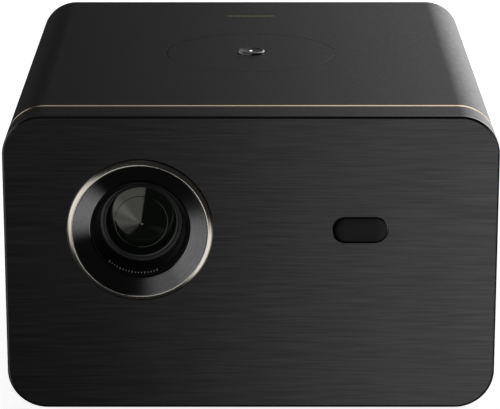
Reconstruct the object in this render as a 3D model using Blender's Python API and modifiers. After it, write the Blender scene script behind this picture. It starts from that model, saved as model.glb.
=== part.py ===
"""Home projector: a rounded box with a wrapped metal shell, a brushed front, a proud lens ring on
the left, a pill-shaped sensor window on the right and a round touch disc on top.

Frame: +Z up, the front faces -Y, X runs to the right seen from the front. The origin is on the
surface that the feet stand on, under the middle of the object.

Pieces of the lens and of the front are placed by their depth, which is measured from the face of
the front panel towards the back of the object.
"""

import math

import bmesh
import bpy
from mathutils import Matrix, Vector

MM = 0.001

# Body
BODY_W = 205 * MM
BODY_H = 127 * MM
BODY_D = 228 * MM
CORNER_R = 16.6 * MM
CORNER_STEPS = 9
WALL = 2.2 * MM
FOOT_H = 4 * MM
GAP = 0.3 * MM
LENS_PROUD = 3.5 * MM

Y_FRONT = (LENS_PROUD - BODY_D) / 2
Y_REAR = Y_FRONT + BODY_D
Z_LOW = FOOT_H
Z_HIGH = FOOT_H + BODY_H
Z_MID = (Z_LOW + Z_HIGH) / 2

# Front: depths from the panel's face
PANEL_INSET = 0.9 * MM
PANEL_T = 0.8 * MM
BEZEL_RIM_D = 1.7 * MM
BEZEL_D = 4 * MM
BAND_END = 17.8 * MM
TRIM_END = 20.0 * MM
LENS_X = -46 * MM
LENS_Z = Z_LOW + 78.4 * MM
LENS_HOLE_R = 27.3 * MM
SENSOR_X = 45.2 * MM
SENSOR_Z = LENS_Z
SENSOR_W = 22.9 * MM
SENSOR_H = 10.6 * MM

# Top controls
DISC_R = 37.8 * MM
DISC_Y = Y_FRONT + 117.4 * MM
BUTTON_R = 6.2 * MM
BUTTON_PROUD = 1.0 * MM
BADGE_Y = Y_FRONT + 195.5 * MM
BADGE_W = 24 * MM
BADGE_D = 2.6 * MM
BADGE_T = 0.8 * MM

# Focus drive
GEAR_MODULE = 1.0 * MM
RING_TEETH = 48
PINION_TEETH = 12
GEAR_DEPTH = 28 * MM
GEAR_T = 8 * MM
PINION_ANGLE = math.radians(-60)
MESH_DISTANCE = GEAR_MODULE * (RING_TEETH + PINION_TEETH) / 2
PINION_X = LENS_X + MESH_DISTANCE * math.cos(PINION_ANGLE)
PINION_Z = LENS_Z + MESH_DISTANCE * math.sin(PINION_ANGLE)
BARREL_R = 20 * MM
BARREL_BORE_R = 18.3 * MM
BARREL_END = 61.5 * MM

# Optical engine
ENGINE_W = 62 * MM
ENGINE_D = 66 * MM
ENGINE_H = 52 * MM
ENGINE_WALL = 2.5 * MM
ENGINE_Y = Y_FRONT + BARREL_END + GAP + ENGINE_D / 2
PRISM = 22 * MM

# Base
BASE_W = 156 * MM
BASE_D = 178 * MM
BASE_Y = 7 * MM
BASE_R = 8 * MM
BASE_TOP = Z_LOW + WALL
CHASSIS_T = 1.6 * MM
CHASSIS_Z = BASE_TOP + GAP + CHASSIS_T / 2
FOOT_R = 8.5 * MM
FOOT_X = 64 * MM
FOOT_Y = (-68 * MM, 84 * MM)
SCREW_X = 70 * MM
SCREW_Y = (-48 * MM, 62 * MM)
SCREW_HEAD_R = 3 * MM
SCREW_SHAFT_R = 1.3 * MM
SCREW_LENGTH = 7 * MM
BUSH_R = 7 * MM
BUSH_BORE_R = 3.2 * MM
BUSH_BORE_DEPTH = 10 * MM
BUSH_H = 11.5 * MM

# Main board and the ports on it
BOARD_W = 134 * MM
BOARD_D = 150 * MM
BOARD_T = 1.6 * MM
BOARD_Z = 19 * MM
BOARD_TOP = BOARD_Z + BOARD_T / 2
PORT_FACE = Y_REAR - 3 * MM
PORT_PLATE_T = 2 * MM
PORT_WINDOW_W = 140 * MM
PORT_WINDOW_H = 22 * MM
PORT_WINDOW_Z = 27 * MM
PORT_SEAT = BOARD_TOP + GAP
POWER_X = -58 * MM
POWER_SIZE = 10 * MM
HDMI_X = (-38 * MM, -17 * MM)
HDMI_SIZE = (15.4 * MM, 12 * MM, 6.2 * MM)
HDMI_MOUTH = (14 * MM, 4.7 * MM)
USB_X = (3 * MM, 21 * MM)
USB_SIZE = (13.8 * MM, 15 * MM, 6.6 * MM)
USB_MOUTH = (12.5 * MM, 5.2 * MM)
LAN_X = 41 * MM
LAN_SIZE = (16 * MM, 18 * MM, 13.4 * MM)
LAN_MOUTH = (12 * MM, 9 * MM)
AUDIO_X = 58 * MM
AUDIO_SIZE = 7.5 * MM

# Rear
REAR_T = 2.5 * MM
EXHAUST_SLOTS = 25
EXHAUST_H = 56 * MM
EXHAUST_Z = 82 * MM

# Fans
FAN_SIZE = 60 * MM
FAN_T = 15 * MM
FAN_X = 33 * MM
FAN_Y = 96 * MM
FAN_Z = EXHAUST_Z
FAN_DUCT_R = 28.6 * MM
FAN_HUB_R = 11.5 * MM
FAN_BLADE_R = 27.6 * MM
FAN_BLADES = 7

# Speakers
SPEAKER_Y = 62 * MM
SPEAKER_Z = 67 * MM
SPEAKER_D = 72 * MM
SPEAKER_H = 72 * MM
SPEAKER_FACE = 92 * MM
SPEAKER_BACK = 76 * MM
WOOFER_R = 24 * MM
GRILLE_D = 92 * MM
GRILLE_H = 76 * MM
GRILLE_R = 8 * MM

# Heat sink
SINK_X = 34 * MM
SINK_Y = 56 * MM
SINK_W = 60 * MM
SINK_D = 52 * MM
SINK_Z = 46 * MM
SINK_H = 56 * MM
SINK_BASE = 5 * MM
FINS = 13
FIN_T = 1.2 * MM

MATERIALS = {
    "shell_paint": ((0.030, 0.030, 0.031), 0.38, 0.6),
    "brushed_panel": ((0.045, 0.045, 0.046), 0.34, 0.9),
    "champagne": ((0.62, 0.50, 0.38), 0.22, 1.0),
    "ring_metal": ((0.10, 0.10, 0.10), 0.30, 1.0),
    "black_gloss": ((0.008, 0.008, 0.008), 0.12, 0.0),
    "black_plastic": ((0.018, 0.018, 0.018), 0.55, 0.0),
    "optical_glass": ((0.10, 0.13, 0.12), 0.02, 0.0),
    "steel": ((0.55, 0.55, 0.56), 0.30, 1.0),
    "aluminium": ((0.70, 0.71, 0.72), 0.35, 1.0),
    "brass": ((0.68, 0.52, 0.26), 0.30, 1.0),
    "copper": ((0.72, 0.42, 0.28), 0.30, 1.0),
    "rubber": ((0.020, 0.020, 0.020), 0.80, 0.0),
    "circuit_board": ((0.02, 0.16, 0.07), 0.45, 0.0),
    "speaker_cone": ((0.030, 0.030, 0.030), 0.75, 0.0),
}

FORWARD = Vector((0, -1, 0))
BACKWARD = Vector((0, 1, 0))
UP = Vector((0, 0, 1))


# ---------------------------------------------------------------------------------------- helpers


def clear_scene():
    for obj in list(bpy.data.objects):
        bpy.data.objects.remove(obj)


def new_collection(name):
    collection = bpy.data.collections.new(name)
    bpy.context.scene.collection.children.link(collection)
    return collection


def make_material(name):
    colour, roughness, metallic = MATERIALS[name]
    material = bpy.data.materials.new(name)
    material.use_nodes = True
    shader = material.node_tree.nodes["Principled BSDF"]
    shader.inputs["Base Color"].default_value = (*colour, 1)
    shader.inputs["Roughness"].default_value = roughness
    shader.inputs["Metallic"].default_value = metallic
    return material


def put(name, mesh, material, location, rotation=None):
    """Links a mesh as a named object in the projector's collection, shaded smooth but for its edges."""
    obj = bpy.data.objects.new(name, mesh)
    obj.location = location
    if rotation is not None:
        obj.rotation_mode = "QUATERNION"
        obj.rotation_quaternion = rotation
    PROJECTOR.objects.link(obj)
    mesh.materials.clear()
    mesh.materials.append(PAINTS[material])
    mesh.shade_smooth()
    mesh.set_sharp_from_angle(angle=math.radians(35))
    return obj


def turn_to(direction):
    """The rotation that carries local +Z to a direction. Facing the front or back keeps local X."""
    if direction == FORWARD:
        return Matrix.Rotation(math.radians(90), 3, "X").to_quaternion()
    if direction == BACKWARD:
        return Matrix.Rotation(math.radians(-90), 3, "X").to_quaternion()
    return UP.rotation_difference(direction)


def front_point(x, depth, z):
    """A point at a depth behind the front panel's face."""
    return Vector((x, Y_FRONT + depth, z))


def as_helper(obj):
    """Moves an object to the cutters, which aren't part of the projector."""
    PROJECTOR.objects.unlink(obj)
    CUTTERS.objects.link(obj)
    obj.hide_render = True
    obj.display_type = "WIRE"
    return obj


def boolean(obj, other, operation):
    modifier = obj.modifiers.new(operation.lower(), "BOOLEAN")
    modifier.operation = operation
    modifier.object = as_helper(other)
    return obj


def cut(obj, *cutters):
    for cutter in cutters:
        boolean(obj, cutter, "DIFFERENCE")
    return obj


def join(obj, *others):
    for other in others:
        boolean(obj, other, "UNION")
    return obj


def bevel(obj, width, segments=1):
    modifier = obj.modifiers.new("bevel", "BEVEL")
    modifier.width = width
    modifier.segments = segments
    modifier.limit_method = "ANGLE"
    modifier.angle_limit = math.radians(50)
    return obj


# --------------------------------------------------------------------------------- basic shapes


def box(name, material, size, centre):
    bpy.ops.mesh.primitive_cube_add(size=1)
    made = bpy.context.object
    mesh = made.data
    bpy.data.objects.remove(made)
    mesh.transform(Matrix.Diagonal((*size, 1)))
    return put(name, mesh, material, centre)


def cylinder(name, material, radius, length, centre, direction=UP, sides=32):
    bpy.ops.mesh.primitive_cylinder_add(vertices=sides, radius=radius, depth=length)
    made = bpy.context.object
    mesh = made.data
    bpy.data.objects.remove(made)
    return put(name, mesh, material, centre, turn_to(direction))


def arc(cx, cy, radius, start_deg, end_deg, steps):
    """Points along an arc, both ends included."""
    angles = [math.radians(start_deg + (end_deg - start_deg) * i / steps) for i in range(steps + 1)]
    return [(cx + radius * math.cos(a), cy + radius * math.sin(a)) for a in angles]


def circle(radius, steps, cx=0, cy=0):
    return arc(cx, cy, radius, 0, 360 - 360 / steps, steps - 1)


def rounded_rectangle(width, height, radius, steps, cx=0, cy=0):
    """Anticlockwise from the right-hand side's lower end, with steps segments in each corner."""
    dx, dy = width / 2 - radius, height / 2 - radius
    points = []
    for i, (sx, sy) in enumerate(((1, -1), (1, 1), (-1, 1), (-1, -1))):
        points += arc(cx + sx * dx, cy + sy * dy, radius, i * 90 - 90, i * 90, steps)
    return points


def pill(width, height, steps, cx=0, cy=0):
    radius = height / 2
    dx = width / 2 - radius
    return arc(cx + dx, cy, radius, -90, 90, steps) + arc(cx - dx, cy, radius, 90, 270, steps)


def slot(width, height, cx, cy):
    """A narrow upright slot with chamfered ends."""
    x, y, chamfer = width / 2, height / 2, width / 3
    corners = [(x, -y + chamfer), (x, y - chamfer), (x - chamfer, y), (-x + chamfer, y)]
    corners += [(-x, y - chamfer), (-x, -y + chamfer), (-x + chamfer, -y), (x - chamfer, -y)]
    return [(cx + px, cy + py) for px, py in corners]


def slot_row(count, pitch, width, height, cx=0, cy=0, bow=0):
    """Slots side by side. A bow makes the outer ones shorter."""
    outlines = []
    for i in range(count):
        across = i - (count - 1) / 2
        shorter = bow * (2 * across / (count - 1)) ** 2
        outlines.append(slot(width, height - shorter, cx + pitch * across, cy))
    return outlines


def slab(name, material, outlines, thickness, centre, direction=UP):
    """A flat piece from an outline and the outlines of its holes, centred on its thickness."""
    curve = bpy.data.curves.new(name, "CURVE")
    curve.dimensions = "2D"
    curve.fill_mode = "BOTH"
    curve.extrude = thickness / 2
    for points in outlines:
        spline = curve.splines.new("POLY")
        spline.points.add(len(points) - 1)
        for corner, (x, y) in zip(spline.points, points):
            corner.co = (x, y, 0, 1)
        spline.use_cyclic_u = True
    mesh = mesh_of_curve(name, curve)
    return put(name, mesh, material, centre, turn_to(direction))


def mesh_of_curve(name, curve):
    """The curve's solid as a mesh, with its loose caps welded on and no slivers."""
    guide = bpy.data.objects.new(name, curve)
    PROJECTOR.objects.link(guide)
    bpy.context.view_layer.update()
    graph = bpy.context.evaluated_depsgraph_get()
    mesh = bpy.data.meshes.new_from_object(guide.evaluated_get(graph))
    bpy.data.objects.remove(guide)
    work = bmesh.new()
    work.from_mesh(mesh)
    bmesh.ops.remove_doubles(work, verts=work.verts, dist=1e-6)
    bmesh.ops.dissolve_degenerate(work, dist=1e-6, edges=work.edges)
    bmesh.ops.recalc_face_normals(work, faces=work.faces)
    work.to_mesh(mesh)
    work.free()
    return mesh


def turned(name, material, profile, centre, direction=UP, steps=32, ring=False):
    """A turned piece. The profile's (radius, height) points run down its outer side, where the
    height is along the direction. A ring's profile is a closed loop."""
    mesh = bpy.data.meshes.new(name)
    count = len(profile)
    edges = [(i, i + 1) for i in range(count - 1)]
    if ring:
        edges.append((count - 1, 0))
    mesh.from_pydata([(radius, 0, height) for radius, height in profile], edges, [])
    obj = put(name, mesh, material, centre, turn_to(direction))
    screw = obj.modifiers.new("turn", "SCREW")
    screw.steps = steps
    screw.render_steps = steps
    screw.use_merge_vertices = True
    screw.merge_threshold = 0.00001
    return obj


def tube(name, material, points, radius, smooth_steps=5):
    """A round wire along a smooth curve through the points."""
    path = smooth_path(points, smooth_steps)
    curve = bpy.data.curves.new(name, "CURVE")
    curve.dimensions = "3D"
    curve.bevel_depth = radius
    curve.bevel_resolution = 2
    curve.use_fill_caps = True
    spline = curve.splines.new("POLY")
    spline.points.add(len(path) - 1)
    for corner, point in zip(spline.points, path):
        corner.co = (*point, 1)
    return put(name, mesh_of_curve(name, curve), material, (0, 0, 0))


def smooth_path(points, steps):
    """Points on a Catmull-Rom curve through the given ones."""
    ends = [points[0] * 2 - points[1], *points, points[-1] * 2 - points[-2]]
    path = []
    for a, b, c, d in zip(ends, ends[1:], ends[2:], ends[3:]):
        for i in range(steps):
            t = i / steps
            bend = (c - a) * t + (2 * a - 5 * b + 4 * c - d) * t**2 + (3 * b - a - 3 * c + d) * t**3
            path.append(b + bend / 2)
    return [*path, points[-1]]


def body_sweep(name, material, profile, ring=True):
    """A piece with the body's rounded section. Each point of the profile is how far the outline is
    inset from the body's own and its depth. A ring's profile is a closed loop, and otherwise the
    first and last outlines are capped."""
    work = bmesh.new()
    loops = []
    for inset, depth in profile:
        outline = rounded_rectangle(
            BODY_W - 2 * inset, BODY_H - 2 * inset, CORNER_R - inset, CORNER_STEPS
        )
        loops.append([work.verts.new((x, depth, z)) for x, z in outline])
    pairs = list(zip(loops, loops[1:]))
    if ring:
        pairs.append((loops[-1], loops[0]))
    else:
        work.faces.new(loops[0])
        work.faces.new(loops[-1])
    for first, second in pairs:
        for i in range(len(first)):
            work.faces.new((first[i - 1], first[i], second[i], second[i - 1]))
    bmesh.ops.recalc_face_normals(work, faces=work.faces)
    mesh = bpy.data.meshes.new(name)
    work.to_mesh(mesh)
    work.free()
    return put(name, mesh, material, (0, Y_FRONT, Z_MID))


# --------------------------------------------------------------------------------------- casing


def front_of_body():
    """The brushed panel, the black bezel that holds it, the painted band and the trim ring."""
    panel_w, panel_h = BODY_W - 2 * PANEL_INSET, BODY_H - 2 * PANEL_INSET
    outlines = [
        rounded_rectangle(panel_w, panel_h, CORNER_R - PANEL_INSET, CORNER_STEPS),
        circle(LENS_HOLE_R, 48, LENS_X, LENS_Z - Z_MID),
        pill(SENSOR_W + 2 * GAP, SENSOR_H + 2 * GAP, 8, SENSOR_X, SENSOR_Z - Z_MID),
    ]
    slab("front_panel", "brushed_panel", outlines, PANEL_T, front_point(0, PANEL_T / 2, Z_MID), FORWARD)

    rim = PANEL_INSET - GAP
    inner = WALL + GAP
    bezel = body_sweep(
        "front_bezel",
        "black_gloss",
        [
            (rim, PANEL_T + GAP),
            (rim, 0),
            (0, rim),
            (0, BEZEL_RIM_D),
            (inner, BEZEL_RIM_D),
            (inner, BEZEL_D),
        ],
        ring=False,
    )
    lens_hole = cylinder(
        "lens_hole", "black_gloss", LENS_HOLE_R, 20 * MM, front_point(LENS_X, 0, LENS_Z), FORWARD, 48
    )
    sensor_hole = slab(
        "sensor_hole",
        "black_gloss",
        [pill(SENSOR_W - 3 * MM, SENSOR_H - 3 * MM, 8)],
        20 * MM,
        front_point(SENSOR_X, 0, SENSOR_Z),
        FORWARD,
    )
    cut(bezel, lens_hole, sensor_hole)

    band_start = BEZEL_RIM_D + GAP
    body_sweep(
        "front_band",
        "shell_paint",
        [(0, band_start), (0, BAND_END), (WALL, BAND_END), (WALL, band_start)],
    )
    trim_start = BAND_END + GAP
    body_sweep(
        "trim_ring",
        "champagne",
        [
            (0.7 * MM, trim_start),
            (0, trim_start + 0.9 * MM),
            (0, TRIM_END),
            (WALL, TRIM_END),
            (WALL, trim_start),
        ],
    )


def shell():
    """The wrapped top, sides and underside, open for the touch disc, the grilles and the base."""
    start, end, chamfer = TRIM_END + GAP, BODY_D, 0.6 * MM
    obj = body_sweep(
        "main_shell",
        "shell_paint",
        [(0, start), (0, end - chamfer), (chamfer, end), (WALL, end), (WALL, start)],
    )
    disc_hole = cylinder(
        "disc_hole", "shell_paint", DISC_R + GAP, 20 * MM, (0, DISC_Y, Z_HIGH), UP, 64
    )
    badge_hole = slab(
        "badge_hole",
        "shell_paint",
        [pill(BADGE_W + 2 * GAP, BADGE_D + 2 * GAP, 6)],
        2 * (BADGE_T + GAP),
        (0, BADGE_Y, Z_HIGH),
    )
    side_windows = slab(
        "side_windows",
        "shell_paint",
        [rounded_rectangle(GRILLE_D, GRILLE_H, GRILLE_R, 4)],
        BODY_W * 1.2,
        (0, SPEAKER_Y, SPEAKER_Z),
    )
    side_windows.rotation_quaternion = side_facing(1)
    base_opening = slab(
        "base_opening",
        "shell_paint",
        [rounded_rectangle(BASE_W, BASE_D, BASE_R, 4)],
        20 * MM,
        (0, BASE_Y, Z_LOW),
    )
    cut(obj, disc_hole, badge_hole, side_windows, base_opening)


def side_facing(side):
    """The rotation of a flat piece in the YZ plane: local X to Y, local Y to Z, local Z outwards."""
    turn = Matrix.Rotation(math.radians(90), 3, "Z") @ Matrix.Rotation(math.radians(90), 3, "X")
    if side < 0:
        turn = turn @ Matrix.Rotation(math.radians(180), 3, "Y")
    return turn.to_quaternion()


def side_grille(name, side):
    """A slotted plate that fills the shell's side window."""
    outlines = [rounded_rectangle(GRILLE_D - 2 * GAP, GRILLE_H - 2 * GAP, GRILLE_R - GAP, 4)]
    outlines += slot_row(17, 5 * MM, 2.2 * MM, 62 * MM)
    grille = slab(name, "black_plastic", outlines, WALL, (side * (BODY_W - WALL) / 2, SPEAKER_Y, SPEAKER_Z))
    grille.rotation_quaternion = side_facing(side)


def rear_of_body():
    """The back panel with its exhaust slots."""
    clear = WALL + GAP
    outlines = [
        rounded_rectangle(BODY_W - 2 * clear, BODY_H - 2 * clear, CORNER_R - clear, CORNER_STEPS),
        rounded_rectangle(PORT_WINDOW_W, PORT_WINDOW_H, 4 * MM, 3, 0, PORT_WINDOW_Z - Z_MID),
        *slot_row(EXHAUST_SLOTS, 5 * MM, 2.4 * MM, EXHAUST_H, 0, EXHAUST_Z - Z_MID),
    ]
    slab("rear_panel", "black_plastic", outlines, REAR_T, (0, PORT_FACE - REAR_T / 2, Z_MID), FORWARD)


def base():
    """The base plate with its air slots, the chassis above it, and what fastens and carries it."""
    edge = rounded_rectangle(BASE_W - 2 * GAP, BASE_D - 2 * GAP, BASE_R - GAP, 4)
    bush_hole = circle(BUSH_R + GAP, 20, 0, -BASE_Y)
    slots = []
    for side in (-1, 1):
        slots += slot_row(9, 5 * MM, 2.4 * MM, 64 * MM, side * 36 * MM, 8 * MM, 12 * MM)
    screw_spots = [(side * SCREW_X, y - BASE_Y) for side in (-1, 1) for y in SCREW_Y]
    screw_holes = [circle(SCREW_SHAFT_R + GAP, 10, x, y) for x, y in screw_spots]
    plate = slab(
        "base_plate",
        "black_plastic",
        [edge, bush_hole, *slots, *screw_holes],
        WALL,
        (0, BASE_Y, Z_LOW + WALL / 2),
    )
    for x, y in screw_spots:
        seat = cylinder(
            "screw_seat", "steel", SCREW_HEAD_R + GAP, 2 * 1.4 * MM, (x, y + BASE_Y, Z_LOW), UP, 14
        )
        cut(plate, seat)

    chassis_edge = rounded_rectangle(168 * MM, 186 * MM, 5 * MM, 3)
    air_windows = [
        rounded_rectangle(50 * MM, 66 * MM, 4 * MM, 3, side * 36 * MM, 8 * MM) for side in (-1, 1)
    ]
    slab(
        "chassis_plate",
        "steel",
        [chassis_edge, bush_hole, *air_windows, *screw_holes],
        CHASSIS_T,
        (0, BASE_Y, CHASSIS_Z),
    )
    turned(
        "tripod_bush",
        "brass",
        [
            (0, BUSH_H),
            (BUSH_R, BUSH_H),
            (BUSH_R, 0.4 * MM),
            (BUSH_R - 0.4 * MM, 0),
            (BUSH_BORE_R, 0),
            (BUSH_BORE_R, BUSH_BORE_DEPTH),
            (0, BUSH_BORE_DEPTH),
        ],
        (0, 0, Z_LOW),
        steps=20,
    )
    for label, x, y in corner_spots(FOOT_X, FOOT_Y):
        top = FOOT_H - GAP
        turned(
            f"foot_{label}",
            "rubber",
            [(0, top), (FOOT_R, top), (FOOT_R, 1 * MM), (FOOT_R - 1 * MM, 0), (0, 0)],
            (x, y, 0),
            steps=20,
        )
    for label, x, y in corner_spots(SCREW_X, SCREW_Y):
        base_screw(f"base_screw_{label}", x, y)


def corner_spots(x, ys):
    return [
        (f"{row}_{side}", sign * x, y)
        for row, y in zip(("front", "rear"), ys)
        for side, sign in (("left", -1), ("right", 1))
    ]


def base_screw(name, x, y):
    """A pan-head screw with a hexagon socket, head down, from the base plate into the chassis."""
    head_h = 1 * MM
    seat = 1.4 * MM
    screw = turned(
        name,
        "steel",
        [
            (0, SCREW_LENGTH),
            (SCREW_SHAFT_R, SCREW_LENGTH),
            (SCREW_SHAFT_R, seat - GAP),
            (SCREW_HEAD_R, seat - GAP),
            (SCREW_HEAD_R, seat - GAP - head_h + 0.3 * MM),
            (SCREW_HEAD_R - 0.5 * MM, seat - GAP - head_h),
            (0, seat - GAP - head_h),
        ],
        (x, y, Z_LOW),
        steps=12,
    )
    socket = cylinder("socket", "steel", 1.3 * MM, 1.6 * MM, (x, y, Z_LOW), UP, 6)
    cut(screw, socket)


# --------------------------------------------------------------------------------- lens and focus


def lens_front():
    """The proud funnel-shaped ring and the black hood inside it."""
    axis = front_point(LENS_X, 0, LENS_Z)
    turned(
        "lens_bezel",
        "ring_metal",
        [
            (LENS_HOLE_R - GAP, 8 * MM),
            (LENS_HOLE_R - GAP, -GAP),
            (30.5 * MM, -GAP),
            (28.9 * MM, 0.3 * MM - LENS_PROUD),
            (28.5 * MM, -LENS_PROUD),
            (28.1 * MM, 0.3 * MM - LENS_PROUD),
            (20.7 * MM, 1 * MM),
            (20.7 * MM, 8 * MM),
        ],
        axis,
        BACKWARD,
        steps=48,
        ring=True,
    )
    turned(
        "lens_hood",
        "black_plastic",
        [
            (20.4 * MM, 9.2 * MM),
            (20.4 * MM, 1.3 * MM),
            (20.1 * MM, 1.3 * MM),
            (17.5 * MM, 7.2 * MM),
            (17.6 * MM, 7.6 * MM),
            (19.2 * MM, 7.7 * MM),
            (19.2 * MM, 9.2 * MM),
        ],
        axis,
        BACKWARD,
        steps=40,
        ring=True,
    )


def domed(radius, rim_depth, rise, steps):
    """A lens's front face from its edge to its middle, steep-sided and gently pointed."""
    tip = radius / 8
    full = math.hypot(radius, tip) - tip
    radii = [radius * (1 - i / steps) for i in range(steps + 1)]
    return [(r, rim_depth - rise * (1 - (math.hypot(r, tip) - tip) / full)) for r in radii]


def lens_group():
    """The cell and the two lenses in it, which slide along the lens axis to focus."""
    axis = front_point(LENS_X, 0, LENS_Z)
    cell_r = BARREL_BORE_R - GAP
    seat_r = cell_r - 0.6 * MM
    turned(
        "lens_cell",
        "black_plastic",
        [
            (cell_r, 34 * MM),
            (cell_r, 9.2 * MM),
            (seat_r, 9.2 * MM),
            (seat_r, 14.6 * MM),
            (15.3 * MM, 15 * MM),
            (11.4 * MM, 17 * MM),
            (11.4 * MM, 17.8 * MM),
            (14.6 * MM, 17.8 * MM),
            (14.6 * MM, 34 * MM),
        ],
        axis,
        BACKWARD,
        steps=36,
        ring=True,
    )
    front_r = seat_r - GAP
    front_rim = 13.4 * MM
    turned(
        "front_lens",
        "optical_glass",
        [
            (0, 12.6 * MM),
            (front_r / 2, 13 * MM),
            (front_r, 14.2 * MM),
            *domed(front_r, front_rim, 4.6 * MM, 6),
        ],
        axis,
        BACKWARD,
        steps=36,
    )
    inner_r = 14.3 * MM
    inner_rim = 18.1 * MM
    turned(
        "inner_lens",
        "optical_glass",
        [(0, 25 * MM), (inner_r, 24 * MM), (inner_r, inner_rim), *domed(11.1 * MM, inner_rim, 2 * MM, 4)],
        axis,
        BACKWARD,
        steps=28,
    )


def gear_outline(teeth, shrink=0.0):
    """A gear with straight-sided teeth, one of them centred on angle zero."""
    pitch_r = GEAR_MODULE * teeth / 2
    rows = (
        (-1.15, 0.66),
        (0.0, 0.40),
        (0.9, 0.19),
    )
    tooth = [(-share, height) for height, share in rows] + [(share, height) for height, share in rows[::-1]]
    points = []
    for i in range(teeth):
        for share, height in tooth:
            radius = pitch_r + height * GEAR_MODULE
            angle = 2 * math.pi * (i + share * (1 - shrink) / 2) / teeth
            points.append((radius * math.cos(angle), radius * math.sin(angle)))
    return points


def focus_drive():
    """The fixed barrel, the toothed ring that turns on it, and the motor with its pinion."""
    axis = front_point(LENS_X, 0, LENS_Z)
    turned(
        "lens_barrel",
        "black_plastic",
        [
            (BARREL_R, BARREL_END),
            (BARREL_R, 9.6 * MM),
            (BARREL_BORE_R, 9.6 * MM),
            (BARREL_BORE_R, BARREL_END),
        ],
        axis,
        BACKWARD,
        steps=40,
        ring=True,
    )
    slab(
        "focus_ring",
        "black_plastic",
        [gear_outline(RING_TEETH), circle(BARREL_R + 0.25 * MM, 48)],
        GEAR_T,
        front_point(LENS_X, GEAR_DEPTH, LENS_Z),
        FORWARD,
    )
    half_tooth = math.pi / PINION_TEETH
    pinion = slab(
        "focus_pinion",
        "brass",
        [gear_outline(PINION_TEETH), circle(1.3 * MM, 10)],
        GEAR_T,
        front_point(PINION_X, GEAR_DEPTH, PINION_Z),
        FORWARD,
    )
    turn = PINION_ANGLE + math.pi + half_tooth
    pinion.rotation_quaternion = pinion.rotation_quaternion @ Matrix.Rotation(turn, 3, "Z").to_quaternion()
    turned(
        "focus_motor",
        "steel",
        [
            (0, 52 * MM),
            (7.6 * MM, 52 * MM),
            (7.6 * MM, 34 * MM),
            (3 * MM, 34 * MM),
            (3 * MM, 33 * MM),
            (1 * MM, 33 * MM),
            (1 * MM, 23 * MM),
            (0, 23 * MM),
        ],
        front_point(PINION_X, 0, PINION_Z),
        BACKWARD,
        steps=24,
    )


# ------------------------------------------------------------------------------------- top controls


def top_controls():
    """The touch disc, the sprung button in its middle, and the board beneath them."""
    turned(
        "touch_disc",
        "shell_paint",
        [
            (DISC_R, 0),
            (DISC_R, -WALL - GAP),
            (DISC_R + 3.5 * MM, -WALL - GAP),
            (DISC_R + 3.5 * MM, -4.4 * MM),
            (DISC_R - 4 * MM, -4.4 * MM),
            (DISC_R - 4 * MM, -WALL),
            (BUTTON_R + GAP, -WALL),
            (BUTTON_R + GAP, 0),
        ],
        (0, DISC_Y, Z_HIGH),
        steps=64,
        ring=True,
    )
    button_top = Z_HIGH + BUTTON_PROUD
    turned(
        "power_button",
        "ring_metal",
        [
            (0, -0.25 * MM),
            (BUTTON_R - 1.2 * MM, -0.1 * MM),
            (BUTTON_R - 0.3 * MM, 0),
            (BUTTON_R, -0.3 * MM),
            (BUTTON_R, -3 * MM),
            (0, -3 * MM),
        ],
        (0, DISC_Y, button_top),
        steps=28,
    )
    board_top = Z_HIGH - WALL - 2.7 * MM
    slab(
        "touch_board",
        "circuit_board",
        [circle(DISC_R - 2 * MM, 32)],
        1.2 * MM,
        (0, DISC_Y, board_top - 0.6 * MM),
    )
    switch_h = 1.7 * MM
    box(
        "button_switch",
        "steel",
        (5 * MM, 5 * MM, switch_h),
        (0, DISC_Y, board_top + GAP + switch_h / 2),
    )
    slab(
        "top_badge",
        "champagne",
        [pill(BADGE_W, BADGE_D, 6)],
        BADGE_T,
        (0, BADGE_Y, Z_HIGH - BADGE_T / 2),
    )


def sensor():
    """The dark window on the front and the rangefinder camera behind it."""
    slab(
        "sensor_window",
        "black_gloss",
        [pill(SENSOR_W, SENSOR_H, 8)],
        PANEL_T,
        front_point(SENSOR_X, PANEL_T / 2, SENSOR_Z),
        FORWARD,
    )
    module_d = 4 * MM
    depth = BEZEL_D + GAP
    module = box(
        "focus_camera",
        "circuit_board",
        (26 * MM, module_d, 12 * MM),
        front_point(SENSOR_X, depth + module_d / 2, SENSOR_Z),
    )
    for offset in (-6 * MM, 6 * MM):
        eye = cylinder(
            "eye",
            "black_gloss",
            2.6 * MM,
            5 * MM,
            front_point(SENSOR_X + offset, depth, SENSOR_Z),
            FORWARD,
            12,
        )
        join(module, eye)


# ---------------------------------------------------------------------------------- optical engine


def engine():
    """The cast housing, the prism inside it, the chip board and the three light modules."""
    centre = Vector((LENS_X, ENGINE_Y, LENS_Z))
    housing = box("engine_housing", "aluminium", (ENGINE_W, ENGINE_D, ENGINE_H), centre)
    inside = [size - 2 * ENGINE_WALL for size in (ENGINE_W, ENGINE_D, ENGINE_H)]
    pocket = box("engine_pocket", "aluminium", inside, centre)
    light_path = cylinder(
        "light_path",
        "aluminium",
        14 * MM,
        10 * MM,
        (LENS_X, ENGINE_Y - ENGINE_D / 2, LENS_Z),
        FORWARD,
        24,
    )
    cut(housing, pocket, light_path)
    box("relay_prism", "optical_glass", (PRISM, PRISM, PRISM), centre + BACKWARD * 14 * MM)
    box(
        "chip_board",
        "circuit_board",
        (44 * MM, BOARD_T, 40 * MM),
        centre + BACKWARD * (ENGINE_D / 2 + 2 * MM),
    )
    for i, colour in enumerate(("red", "green", "blue")):
        box(
            f"light_module_{colour}",
            "copper",
            (7 * MM, 15 * MM, 18 * MM),
            (
                LENS_X + ENGINE_W / 2 + GAP + 3.5 * MM,
                ENGINE_Y + (i - 1) * 20 * MM,
                LENS_Z,
            ),
        )


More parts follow.
